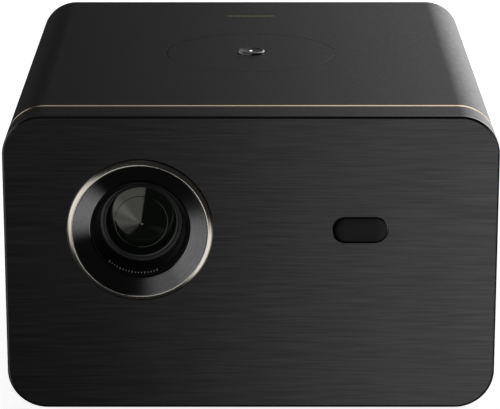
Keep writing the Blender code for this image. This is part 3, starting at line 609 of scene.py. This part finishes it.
def front():
    """The brushed sheet, the black rim that holds it and the sensor's window."""
    panel = extent("front_panel")
    window = extent("sensor_window")
    eye = middle("sensor_window")
    radius = CORNER_R - (BODY_W - panel.x) / 2
    outlines = [
        rounded(panel.x, panel.z, radius, CORNER_STEPS),
        circle(LENS_HOLE_R, 96, LENS.x, LENS.z - MID_Z),
        pill(window.x + 2 * GAP, window.z + 2 * GAP, eye.x, eye.z - MID_Z, 16),
    ]
    sheet = plate("front_sheet", outlines, panel.y, middle("front_panel"), FACE_FRONT, 0.12 * MM)
    show("front_sheet", sheet, "brushed", nodes=["front_panel"])

    chamfer, outer_end = 0.6 * MM, 1.7 * MM
    seat, back = panel.y + GAP, extent("front_bezel").y
    inner = WALL + GAP
    profile = [(chamfer, seat), (chamfer, 0), (0, chamfer)]
    profile += [(0, outer_end), (inner, outer_end), (inner, back)]
    rim = body_loft("front_rim", softened(profile, 0.12 * MM, 2), closed=False)
    lens_hole = rod("lens_hole", LENS_HOLE_R, CUTTER_DEPTH, LENS, FACE_FRONT, 96)
    eye_outline = pill(window.x - 3 * MM, window.z - 3 * MM)
    eye_hole = plate("eye_hole", [eye_outline], CUTTER_DEPTH, eye, FACE_FRONT)
    rim = carved("front_rim", rim, [lens_hole, eye_hole])
    show("front_rim", rim, "gloss", nodes=["front_bezel"])

    show("sensor_glass", sensor_glass(eye, window), "window", nodes=["sensor_window"])


def front_rings():
    """The painted band behind the front, and the champagne trim behind the band."""
    low, high = (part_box("front_band")[i][1] - FRONT for i in (0, 1))
    slant = 0.4 * MM
    profile = [(0, low), (0, high - slant), (slant / 2, high), (WALL, high), (WALL, low)]
    band = body_loft("front_collar", softened(profile, 0.12 * MM, 2, True))
    show("front_collar", band, "paint", nodes=["front_band"])

    low, high = (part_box("trim_ring")[i][1] - FRONT for i in (0, 1))
    profile = [(0.45 * MM, low), (0, low + 0.95 * MM), (0, high), (WALL, high), (WALL, low)]
    trim = body_loft("gold_trim", softened(profile, 0.1 * MM, 2, True))
    show("gold_trim", trim, "champagne", nodes=["trim_ring"])


def sensor_glass(place, size):
    """A pill with a slightly crowned face."""
    side = ((0, -0.35), (0, 0.2), (0.08, 0.28), (0.3, 0.32))
    face = ((1.2, 0.36), (2.6, 0.39), (4.4, 0.4))
    rings = []
    for inset, height in side + face:
        outline = pill(size.x - 2 * inset * MM, size.z - 2 * inset * MM, 0, 0, 16)
        rings.append([(place.x + x, place.y - height * MM, place.z + z) for x, z in outline])
    return loft("sensor_glass", rings)


def shell():
    """The wrapped shell with its openings."""
    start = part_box("main_shell")[0][1] - FRONT
    end = REAR - FRONT
    profile = [(0, start), (0, end), (WALL, end), (WALL, start)]
    skin = body_loft("shell_skin", softened(profile, 0.5 * MM, 4, True))
    badge, badge_place = extent("top_badge"), middle("top_badge")
    grille, grille_place = extent("side_grille_right"), middle("side_grille_right")
    base, base_place = extent("base_plate"), middle("base_plate")
    badge_hole = pill(badge.x + 2 * GAP, badge.y + 2 * GAP)
    side_hole = rounded(grille.y + 2 * GAP, grille.z + 2 * GAP, 8 * MM)
    base_hole = rounded(base.x + 2 * GAP, base.y + 2 * GAP, 8 * MM)
    above, across = (badge_place.x, badge_place.y, TOP), (0, grille_place.y, grille_place.z)
    below = (0, base_place.y, BOTTOM)
    cutters = [
        rod("disc_hole", 38.1 * MM, CUTTER_DEPTH, DISC, FACE_UP, 160),
        plate("badge_hole", [badge_hole], 2 * (badge.z + GAP), above, FACE_UP),
        plate("side_holes", [side_hole], BODY_W * 1.2, across, FACE_RIGHT),
        plate("base_hole", [base_hole], CUTTER_DEPTH, below, FACE_UP),
    ]
    mesh = carved("shell_skin", skin, cutters, 0.16 * MM)
    show("shell_skin", mesh, "paint", nodes=["main_shell"])


def side_grilles():
    """The slotted grilles in front of the speakers."""
    size = extent("side_grille_right")
    for label, side in SIDES:
        node, name = f"side_grille_{label}", f"side_louvre_{label}"
        outlines = [rounded(size.y, size.z, 7.7 * MM, 10)]
        outlines += slots(17, 5 * MM, 2.2 * MM, 62 * MM)
        mesh = plate(name, outlines, size.x, middle(node), FACE_SIDE[side], 0.35 * MM)
        show(name, mesh, "matt", nodes=[node])


def rear():
    """The back panel with its exhaust slots, and the plate around the sockets.

    Both are turned as the front is, so that X in an outline stays X in the body.
    """
    size, place = extent("rear_panel"), middle("rear_panel")
    window, window_place = extent("port_plate"), middle("port_plate")
    radius = CORNER_R - (BODY_W - size.x) / 2
    outlines = [
        rounded(size.x, size.z, radius, CORNER_STEPS),
        rounded(window.x + 2 * GAP, window.z + 2 * GAP, 4 * MM, 8, 0, window_place.z - place.z),
        *slots(25, 5 * MM, 2.4 * MM, 56 * MM, 0, middle("fan_frame_left").z - place.z),
    ]
    mesh = plate("back_panel", outlines, size.y, place, FACE_FRONT, 0.35 * MM)
    show("back_panel", mesh, "matt", nodes=["rear_panel"])

    outlines = [rounded(window.x, window.z, 3.7 * MM, 8)]
    for node in SOCKETS:
        port, spot = extent(node), middle(node)
        width, height = port.x + 2 * GAP, port.z + 2 * GAP
        outlines.append(rounded(width, height, 0.5 * MM, 3, spot.x, spot.z - window_place.z))
    mesh = plate("socket_plate", outlines, window.y, window_place, FACE_FRONT, 0.2 * MM)
    show("socket_plate", mesh, "gloss", nodes=["port_plate"])


# ---------------------------------------------------------------------------------------- lens

# The hood's sloping inner wall, as (radius, height) in millimetres at its front and back ends
SLOPE_FRONT = (20.1, -1.3)
SLOPE_BACK = (18.75, -4.4)


def lens_front():
    """The champagne crest, the dark funnel inside it and the black hood with its marks."""
    crest = [
        (27.0, -8), (27.0, 0.3), (30.5, 0.3), (30.35, 0.8), (30.0, 1.35),
        (29.5, 1.8), (28.5, 2.38), (28.15, 2.4), (27.9, 2.2), (26.6, 1.2),
        (26.4, -8),
    ]
    mesh = ring("lens_crest", crest, 0.12, LENS, FACE_FRONT, 160, 3)
    show("lens_crest", mesh, "crest")
    funnel = [(26.3, -8), (26.3, 1.1), (28.05, 2.5), (27.75, 2.42)]
    funnel += [(21.15, -0.92), (20.75, -1.2), (20.7, -8)]
    mesh = ring("lens_funnel", funnel, 0.08, LENS, FACE_FRONT, 160)
    show("lens_funnel", mesh, "funnel", nodes=["lens_bezel"])

    hood = [(20.4, -9.2), (20.4, -1.3), SLOPE_FRONT, SLOPE_BACK]
    for i in range(4):
        depth = -4.45 - 0.68 * i
        radius = 18.7 - 0.3 * i
        hood += [(radius, depth), (radius + 0.1, depth - 0.3), (radius - 0.12, depth - 0.42)]
    hood += [(17.5, -7.2), (17.6, -7.6), (19.2, -7.7), (19.2, -9.2)]
    mesh = ring("hood_ring", hood, 0.06, LENS, FACE_FRONT, 120)
    show("hood_ring", mesh, "hood", nodes=["lens_hood"])
    show("hood_marks", hood_marks(), "print")


def hood_marks():
    """A scale of plain strokes printed low on the hood's sloping inner wall."""
    marks = []
    radius, height = 19.42 * MM, -2.85 * MM
    across, along = (SLOPE_FRONT[i] - SLOPE_BACK[i] for i in (0, 1))
    lean = Matrix.Rotation(math.atan2(across, along), 4, "X")
    for i in range(17):
        turn = Matrix.Rotation(math.radians(-42 + 3.9 * i), 4, "Z")
        size = (0.3 * MM, 0.06 * MM, (1.4 if i % 4 == 0 else 0.8) * MM)
        work = bmesh.new()
        bmesh.ops.create_cube(work, size=1, matrix=lean @ Matrix.Diagonal((*size, 1)))
        work.transform(turn @ Matrix.Translation((0, -radius, height)))
        work.transform(Matrix.Translation(LENS) @ FACE_FRONT)
        marks.append(mesh_from(work, "mark"))
    return joined("hood_marks", *marks)


def pointed(radius, rim, rise, tip, steps):
    """(radius, height) points down a lens's face from its gently pointed middle to its edge."""
    full = math.hypot(radius, tip) - tip
    radii = [radius * i / steps for i in range(steps + 1)]
    return [(r, rim + rise * (1 - (math.hypot(r, tip) - tip) / full)) for r in radii]


def lens_group():
    """The cell, its retaining ring and the lenses, which slide together to focus."""
    cell = [
        (18.0, -34), (18.0, -9.2), (17.4, -9.2), (17.4, -14.6), (15.3, -14.7),
        (15.2, -15.2), (14.3, -15.3), (14.2, -15.8), (13.3, -15.9), (13.2, -16.4),
        (12.1, -16.5), (12.0, -17.0), (11.4, -17.1), (11.4, -17.8), (14.6, -17.8),
        (14.6, -34),
    ]
    mesh = ring("cell_ring", cell, 0.1, LENS, FACE_FRONT, 120)
    show("cell_ring", mesh, "hood", "lens_cell", ["lens_cell"])
    keeper = [
        (17.3, -14.3), (17.3, -11.9), (16.9, -11.9), (16.8, -12.5), (16.2, -12.5),
        (16.1, -13.1), (15.7, -13.1), (15.5, -12.7), (14.8, -12.9), (14.7, -14.3),
    ]
    mesh = ring("lens_keeper", keeper, 0.08, LENS, FACE_FRONT, 120)
    show("lens_keeper", mesh, "keeper", "lens_cell")

    face = pointed(10.9, -12.3, 3.44, 0.7, 22)
    face += [(10.96, -12.42), (11.1, -12.44), (11.2, -12.4), (13.2, -13.0), (14.6, -13.43)]
    back = [(14.6, -14.2), (7, -13.6), (0, -13.3)]
    mesh = turned("front_glass", scaled(face + back), LENS, FACE_FRONT, 120)
    show("front_glass", mesh, "glass", "lens_cell", ["front_lens"])

    face = pointed(11.1, -18.1, 3.0, 1.3, 14)
    rest = [(14.3, -18.15), (14.3, -24), (0, -25)]
    mesh = turned("inner_glass", scaled(face + rest), LENS, FACE_FRONT, 96)
    show("inner_glass", mesh, "element", "lens_cell", ["inner_lens"])


# ---------------------------------------------------------------------------------- top controls


def top_controls():
    """The touch disc with four marks round it, the button with its light, and the badge."""
    disc = [(6.5, -2.2), (6.5, 0), (37.8, 0), (37.8, -2.5)]
    disc += [(41.3, -2.5), (41.3, -4.4), (33.8, -4.4), (33.8, -2.2)]
    mesh = ring("touch_plate", disc, 0.14, DISC, FACE_UP, 160, 3)
    show("touch_plate", mesh, "paint", nodes=["touch_disc"])
    for label, angle in (("right", 0), ("back", 90), ("left", 180), ("front", 270)):
        turn = math.radians(angle)
        spot = DISC + Vector((math.cos(turn), math.sin(turn), 0)) * 37.95 * MM
        spot = spot + Vector((0, 0, -0.21 * MM))
        dot = rod(f"touch_mark_{label}", 0.62 * MM, 0.5 * MM, spot, FACE_UP, 24, 0.08 * MM)
        show(f"touch_mark_{label}", dot, "gloss")

    place = (DISC.x, DISC.y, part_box("power_button")[1][2])
    cap = [(0, -0.32), (1.1, -0.32), (3.6, -0.2), (5.3, -0.02), (5.75, 0)]
    cap += [(6.2, -0.45), (6.2, -3), (0, -3)]
    mesh = turned("button_cap", softened(scaled(cap), 0.12 * MM, 3), place, FACE_UP, 96)
    show("button_cap", mesh, "button", "power_button", ["power_button"])
    dome = [(0, -0.16), (0.35, -0.17), (0.55, -0.24), (0.6, -0.34), (0, -0.34)]
    light = turned("button_light", scaled(dome), place, FACE_UP, 32)
    show("button_light", light, "white_light", "power_button")

    badge, spot = extent("top_badge"), middle("top_badge")
    mesh = plate("badge_bar", [pill(badge.x, badge.y)], badge.z, spot, FACE_UP, 0.18 * MM)
    show("badge_bar", mesh, "badge", nodes=["top_badge"])


# -------------------------------------------------------------------------------------- underside


def underside():
    """The base plate, the feet, the screws and the tripod bush."""
    size, place = extent("base_plate"), middle("base_plate")
    corners = [f"{row}_{side}" for row in ("front", "rear") for side in ("left", "right")]
    screws = [middle(f"base_screw_{corner}") for corner in corners]
    outlines = [rounded(size.x, size.y, 7.7 * MM, 10), circle(7.3 * MM, 48, -place.x, -place.y)]
    for side in (-1, 1):
        outlines += slots(9, 5 * MM, 2.4 * MM, 64 * MM, side * 36 * MM, 15 * MM - place.y, 12 * MM)
    outlines += [circle(3.3 * MM, 32, spot.x - place.x, spot.y - place.y) for spot in screws]
    mesh = plate("base_tray", outlines, size.z, place, FACE_UP, 0.3 * MM)
    show("base_tray", mesh, "matt", nodes=["base_plate"])

    for corner in corners:
        foot(corner)
        screw(corner)
    show("tripod_nut", tripod_nut(), "brass", nodes=["tripod_bush"])


def foot(label):
    """A rubber pad with ridges round its middle."""
    low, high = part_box(f"foot_{label}")
    centre = middle(f"foot_{label}")
    height = high[2] - low[2]
    outline = [(0, height), (8.5 * MM, height), (8.5 * MM, 1.1 * MM), (7.5 * MM, 0), (6.3 * MM, 0)]
    for radius in (5.9, 4.4, 2.9):
        outline += scaled([(radius, 0.35), (radius - 0.7, 0.35), (radius - 1.1, 0)])
    outline += [(0, 0)]
    name, place = f"foot_pad_{label}", (centre.x, centre.y, low[2])
    mesh = turned(name, softened(outline, 0.3 * MM), place, FACE_UP, 64)
    show(name, mesh, "rubber", nodes=[f"foot_{label}"])


def screw(label):
    """A pan-head screw, head down, with a hexagon socket."""
    node = f"base_screw_{label}"
    centre = middle(node)
    place = (centre.x, centre.y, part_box(node)[0][2])
    head = [(0, 6.9), (1.3, 6.9), (1.3, 1.0), (3.0, 1.0), (3.0, 0.45), (2.5, 0), (0, 0)]
    mesh = turned(node, softened(scaled(head), 0.2 * MM), place, FACE_UP, 48)
    hexagon = plate("hexagon", [circle(1.3 * MM, 6)], 2.6 * MM, place, FACE_UP, 0.01 * MM)
    mesh = carved(f"screw_{label}", mesh, [hexagon])
    show(f"screw_{label}", mesh, "steel", nodes=[node])


def tripod_nut():
    """A brass bush with a quarter-inch thread that has 20 turns to the inch."""
    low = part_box("tripod_bush")[0][2]
    pitch, bore, crest_r = 1.27 * MM, 3.2 * MM, 2.75 * MM
    outline = [(0, 11.5), (7, 11.5), (7, 0.4), (6.6, 0), (3.7, 0), (3.2, 0.5), (3.2, 10), (0, 10)]
    bush = turned("bush", scaled(outline), (0, 0, low), FACE_UP, 64)
    rings = []
    turns, per_turn = 7, 28
    for i in range(turns * per_turn + 1):
        angle = math.tau * i / per_turn
        height = low + 0.6 * MM + pitch * i / per_turn
        fade = min(1, i / per_turn, (turns * per_turn - i) / per_turn)
        crest = bore + 0.05 * MM - (bore - crest_r) * fade
        section = ((bore + 0.1 * MM, -pitch / 2.2), (crest, 0), (bore + 0.1 * MM, pitch / 2.2))
        rings.append([(r * math.cos(angle), r * math.sin(angle), height + dz) for r, dz in section])
    return joined("tripod_nut", bush, loft("thread", rings))


# ------------------------------------------------------------------------------- sockets and fans


def sockets():
    """The sockets' metal shells, tongues and contacts."""
    for i in (1, 2):
        hdmi(f"hdmi_port_{i}")
        usb(f"usb_port_{i}")
    network()
    power_jack()
    audio_jack()


def open_end(node, across=0.0, ahead=0.0, up=0.0):
    """The middle of a socket's open end, or a place so many millimetres from it."""
    size, place = extent(node), middle(node)
    back = place.y + size.y / 2
    return Vector((place.x + across * MM, back - ahead * MM, place.z + up * MM))


def mouth(node, outline, depth):
    """A cutter for a socket's opening."""
    return plate("mouth", [outline], 2 * depth, open_end(node), FACE_FRONT, 0.02 * MM)


def socket_body(name, node, cutter, look, edge, broken):
    """The socket's block, with the cutter taken out of it."""
    block = bar(node, extent(node), middle(node), edge)
    show(name, carved(node, block, [cutter], broken), look, nodes=[node])


def tongue(node, size, ahead, up):
    name, place = f"{node}_tongue", open_end(node, 0, ahead, up)
    show(name, bar(name, [side * MM for side in size], place), "tongue")


def contacts(name, node, count, pitch, size, ahead, up):
    """A row of flat gold contacts along X."""
    blades = []
    for i in range(count):
        place = open_end(node, (i - (count - 1) / 2) * pitch, ahead, up)
        blades.append(bar(name, [side * MM for side in size], place, 0.03 * MM))
    show(name, joined(name, *blades), "gold")


def hdmi(node):
    """A shell with the slanted lower corners, and a tongue with contacts."""
    w, h, cut = 14 * MM, 4.7 * MM, 1.6 * MM
    corners = [(w / 2, h / 2), (-w / 2, h / 2), (-w / 2, -h / 2 + cut)]
    corners += [(-w / 2 + cut, -h / 2), (w / 2 - cut, -h / 2), (w / 2, -h / 2 + cut)]
    cutter = mouth(node, softened(corners, 0.5 * MM, 3, True), 10 * MM)
    socket_body(f"{node}_shell", node, cutter, "steel", 0.5 * MM, 0.12 * MM)
    tongue(node, (10.6, 7, 1.1), 6.2, 0.4)
    contacts(f"{node}_pins", node, 10, 1, (0.42, 6.4, 0.12), 6.3, -0.17)


def usb(node):
    cutter = mouth(node, rounded(12.5 * MM, 5.2 * MM, 0.5 * MM, 4), 13 * MM)
    socket_body(f"{node}_shell", node, cutter, "steel", 0.4 * MM, 0.12 * MM)
    tongue(node, (11.2, 10, 1.8), 7.6, 1.1)
    contacts(f"{node}_pins", node, 4, 2.3, (1.1, 8, 0.16), 7.2, 0.16)


def network():
    node = "network_port"
    cutter = mouth(node, rounded(12 * MM, 9 * MM, 0.4 * MM, 3), 14 * MM)
    socket_body("network_shell", node, cutter, "steel", 0.4 * MM, 0.12 * MM)
    contacts("network_pins", node, 8, 1.02, (0.4, 7, 0.4), 8, 3.9)
    for label, side in SIDES:
        size, place = (2.2 * MM, 0.8 * MM, 1.0 * MM), open_end(node, side * 5.6, 0.2, 5.6)
        lamp = bar(f"network_lamp_{label}", size, place, 0.1 * MM)
        show(f"network_lamp_{label}", lamp, "print")


def power_jack():
    node = "power_jack"
    place = open_end(node)
    bore = rod("bore", 3.1 * MM, 18 * MM, place, FACE_FRONT, 48, 0.01 * MM)
    socket_body("power_inlet", node, bore, "tongue", 0.5 * MM, 0.15 * MM)
    outline = scaled([(0, -0.6), (0.75, -0.6), (1.05, -1.2), (1.05, -9.4), (0, -9.4)])
    pin = turned("power_pin", softened(outline, 0.2 * MM), place, FACE_BACK, 32)
    show("power_pin", pin, "steel")
    outline = scaled([(3.08, -0.4), (3.08, -8.8), (2.85, -8.8), (2.85, -0.4)])
    sleeve = turned("power_sleeve", outline, place, FACE_BACK, 48, True)
    show("power_sleeve", sleeve, "steel")


def audio_jack():
    node = "audio_jack"
    place = open_end(node)
    bore = rod("bore", 1.8 * MM, 20 * MM, place, FACE_FRONT, 40, 0.01 * MM)
    socket_body("audio_inlet", node, bore, "tongue", 0.4 * MM, 0.1 * MM)
    outline = [(2.9, 0), (2.9, -0.6), (1.82, -0.6), (1.82, 0), (2.0, 0.0)]
    show("audio_ring", ring("audio_ring", outline, 0.1, place, FACE_BACK, 48), "gold")


def fans():
    """The fan wheels, and the baffle that keeps the air from crossing ahead of the heat sink."""
    for label in ("left", "right"):
        node = f"fan_rotor_{label}"
        wheel = fan_wheel(label, middle(node))
        show(f"fan_wheel_{label}", wheel, "inside", node, [node])
    low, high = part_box("engine_housing")[1].y + 3.5 * MM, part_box("heat_sink")[0].y - 0.8 * MM
    foot_z, head_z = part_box("heat_sink")[0].z - 4 * MM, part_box("touch_board")[0].z - 2.5 * MM
    width, height = high - low, head_z - foot_z
    outlines = [rounded(width, height, 1.5 * MM)]
    outlines += [circle(1.1 * MM, 24, 0, side * (height / 2 - 4 * MM)) for side in (-1, 1)]
    place = (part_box("heat_pipe")[0].x - 4.5 * MM, (low + high) / 2, (foot_z + head_z) / 2)
    baffle = plate("air_baffle", outlines, 1.2 * MM, place, FACE_RIGHT)
    show("air_baffle", baffle, "inside")


def fan_wheel(label, centre):
    """A cupped hub with seven curved, twisted blades."""
    half = extent(f"fan_rotor_{label}").y / 2
    hub_outer, hub_inner, base = 11.5 * MM, 10.3 * MM, half - 2 * MM
    hub = [(0, half), (hub_outer, half), (hub_outer, -half)]
    hub += [(hub_inner, -half), (hub_inner, base), (0, base)]
    parts = [turned("hub", softened(hub, 0.8 * MM, 4), centre, FACE_FRONT, 64)]
    inner, outer = 11 * MM, 27.2 * MM
    for i in range(7):
        rings = []
        for k in range(9):
            t = k / 8
            radius = inner + (outer - inner) * t
            pitch = math.radians(52 - 24 * t)
            sweep = math.tau * i / 7 + 0.30 * t * t
            chord = min((9.5 + 6.5 * t) * MM, 1.9 * half / math.sin(pitch))
            rings.append(blade_section(radius, sweep, pitch, chord, 0.9 * MM))
        blade = loft("blade", rings)
        blade.transform(Matrix.Translation(centre) @ FACE_FRONT)
        parts.append(blade)
    return joined(f"fan_wheel_{label}", *parts)


def blade_section(radius, sweep, pitch, chord, thickness):
    """A cambered aerofoil's outline, standing across a radius of the wheel."""
    upper, lower = [], []
    for j in range(7):
        s = j / 6 - 0.5
        camber = 0.12 * chord * (1 - 4 * s * s)
        thick = thickness * (0.35 + 0.65 * (1 - 4 * s * s)) / 2
        upper.append((s * chord, camber + thick))
        lower.append((s * chord, camber - thick))
    points = []
    for along, up in upper + lower[::-1]:
        tangential = along * math.cos(pitch) - up * math.sin(pitch)
        axial = along * math.sin(pitch) + up * math.cos(pitch)
        angle = sweep + tangential / radius
        points.append((radius * math.cos(angle), radius * math.sin(angle), axial))
    return points


def bulge(across, up, width, height, start, stop, step):
    """Points in millimetres along part of an oval, by angle in degrees."""
    angles = [math.radians(angle) for angle in range(start, stop, step)]
    return [(across + width * math.cos(a), up + height * math.sin(a)) for a in angles]


def speakers():
    """The cones with their caps and rolled surrounds."""
    for label, side in SIDES:
        node = f"woofer_cone_{label}"
        low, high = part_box(node)
        face_x = (high[0] if side > 0 else low[0]) - side * 2.2 * MM
        place = (face_x, middle(node).y, middle(node).z)
        roll = [(23.7, 1.0), (23.2, 1.1), *bulge(21.2, 0.95, 2.0, 1.2, 15, 171, 15)]
        cone = [(19.0, 0.75), (17.5, 0.45), (12.5, -1.0), (8.2, -2.2), (7.6, -2.3)]
        cap = bulge(0, -2.3, 7.5, 1.3, 10, 91, 16)
        back = [(0, -4.2), (6, -4.2), (17.5, -0.4), (23.7, 0.1)]
        outline = [(23.7, 0.3), *roll, *cone, *cap, *back]
        mesh = turned(f"woofer_{label}", scaled(outline), place, FACE_SIDE[side], 96)
        show(f"woofer_{label}", mesh, "cone", node, [node])


# --------------------------------------------------------------------- nodes that keep their shape


def carried_over():
    """Gives each CAD node that stays in view its own procedural material."""
    kinds = ("fan_frame", "speaker_box")
    pairs = [f"{kind}_{label}" for kind in kinds for label, _ in SIDES]
    looks = {
        "aluminium": ("engine_housing", "heat_sink"),
        "steel": ("chassis_plate", "focus_motor", "button_switch"),
        "copper": ("heat_pipe", "light_module_red", "light_module_green", "light_module_blue"),
        "board": ("main_board", "touch_board", "chip_board", "focus_camera"),
        "inside": ("lens_barrel", "focus_ring", *pairs),
        "brass": ("focus_pinion",),
        "element": ("relay_prism",),
    }
    for look, nodes in looks.items():
        for node in nodes:
            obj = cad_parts[node]
            obj.data.materials.clear()
            obj.data.materials.append(LOOKS[look])
            smoothed(obj.data)


# -------------------------------------------------------------------------------------- studio


def camera():
    """A long lens that looks at the front from a little above."""
    place, tilt = (0, -1.1386, 0.3940), 73.68
    data = bpy.data.cameras.new("camera")
    data.lens = 186.26
    data.sensor_width = 36
    data.shift_x = -0.0019
    data.clip_start = 0.05
    obj = linked(bpy.data.objects.new("camera", data))
    obj.location = place
    obj.rotation_euler = (math.radians(tilt), 0, 0)
    bpy.context.scene.camera = obj


def floor():
    """A pale floor that only the camera sees, so that it doesn't wash out the dark metal."""
    radius, drop = 6, 0.2 * MM
    mesh = turned("floor", [(0, 0), (radius, 0)], (0, 0, -drop), FACE_UP, 96)
    obj = linked(bpy.data.objects.new("floor", mesh))
    sockets = {"Emission Color": (1, 1, 1, 1), "Emission Strength": 0.82}
    look = Look("floor", (0.9, 0.9, 0.9), 0.9, 0.0, sockets)
    look.gloss(look.noise(30, 3), 0.85, 0.95)
    mesh.materials.append(look.material)
    obj.visible_glossy = False
    obj.visible_diffuse = False
    obj.visible_transmission = False
    obj.visible_shadow = False


# Soft lights in the sky: direction, half-angle of the even part and of the edge, and strength
SKY = (
    ((0.64, 0.77, 0.00), 8, 44, 2.5),
    ((0.36, 0.53, 0.77), 8, 26, 1.8),
    ((0.21, -0.93, -0.30), 3, 16, 2.2),
    ((-0.82, -0.55, 0.00), 8, 36, 1.2),
    ((0.76, -0.36, -0.54), 8, 28, 1.4),
    ((-0.97, 0.05, 0.22), 14, 34, 0.8),
    ((-0.56, -0.68, -0.47), 6, 19, 0.35),
    ((-0.72, 0.52, 0.46), 8, 26, 0.8),
    ((0.00, 0.30, 0.95), 8, 24, 0.45),
)
AMBIENT = 0.025

# A soft light cut off along one straight edge, which makes the bright sector on the lens
SHEET_AXIS = (-0.28, -0.92, 0.20)
SHEET_INNER, SHEET_OUTER = 16, 27
SHEET_EDGE = (-0.56, 0.0, 0.10)
SHEET_STRENGTH = 0.9


def sky():
    """The pale backdrop for the camera, and the lights that the object sees."""
    world = bpy.data.worlds.new("studio")
    bpy.context.scene.world = world
    world.use_nodes = True
    world.node_tree.nodes.clear()
    tree = Tree(world.node_tree)
    direction = tree.add("ShaderNodeTexCoord").outputs["Generated"]

    def towards(axis, low, high, strength):
        """Rises smoothly from 0 to the strength as the direction's part along the axis does."""
        inputs = {0: direction, 1: Vector(axis).normalized()}
        dot = tree.add("ShaderNodeVectorMath", inputs, operation="DOT_PRODUCT").outputs["Value"]
        return tree.ranged(dot, low, high, 0, strength, "SMOOTHSTEP")

    def spot(axis, inner, outer, strength):
        """A light with an even part and a soft edge, by their half-angles in degrees."""
        low, high = (math.cos(math.radians(angle)) for angle in (outer, inner))
        return towards(axis, low, high, strength)

    total = AMBIENT
    for light in SKY:
        total = tree.math("ADD", spot(*light), total)
    sheet = spot(SHEET_AXIS, SHEET_INNER, SHEET_OUTER, 1.0)
    edge = towards(SHEET_EDGE, 0.0, 0.02, SHEET_STRENGTH)
    total = tree.math("ADD", total, tree.math("MULTIPLY", sheet, edge))

    lit = tree.add("ShaderNodeBackground", {"Strength": total}).outputs[0]
    pale = tree.add("ShaderNodeBackground", {"Color": (0.97, 0.97, 0.97, 1)}).outputs[0]
    seen = tree.add("ShaderNodeLightPath").outputs["Is Camera Ray"]
    mix = tree.add("ShaderNodeMixShader", {0: seen, 1: lit, 2: pale}).outputs[0]
    tree.add("ShaderNodeOutputWorld", {"Surface": mix})
    bpy.context.scene.view_settings.view_transform = "Standard"


camera()
floor()
sky()
front()
front_rings()
shell()
side_grilles()
rear()
lens_front()
lens_group()
top_controls()
underside()
sockets()
fans()
speakers()
carried_over()
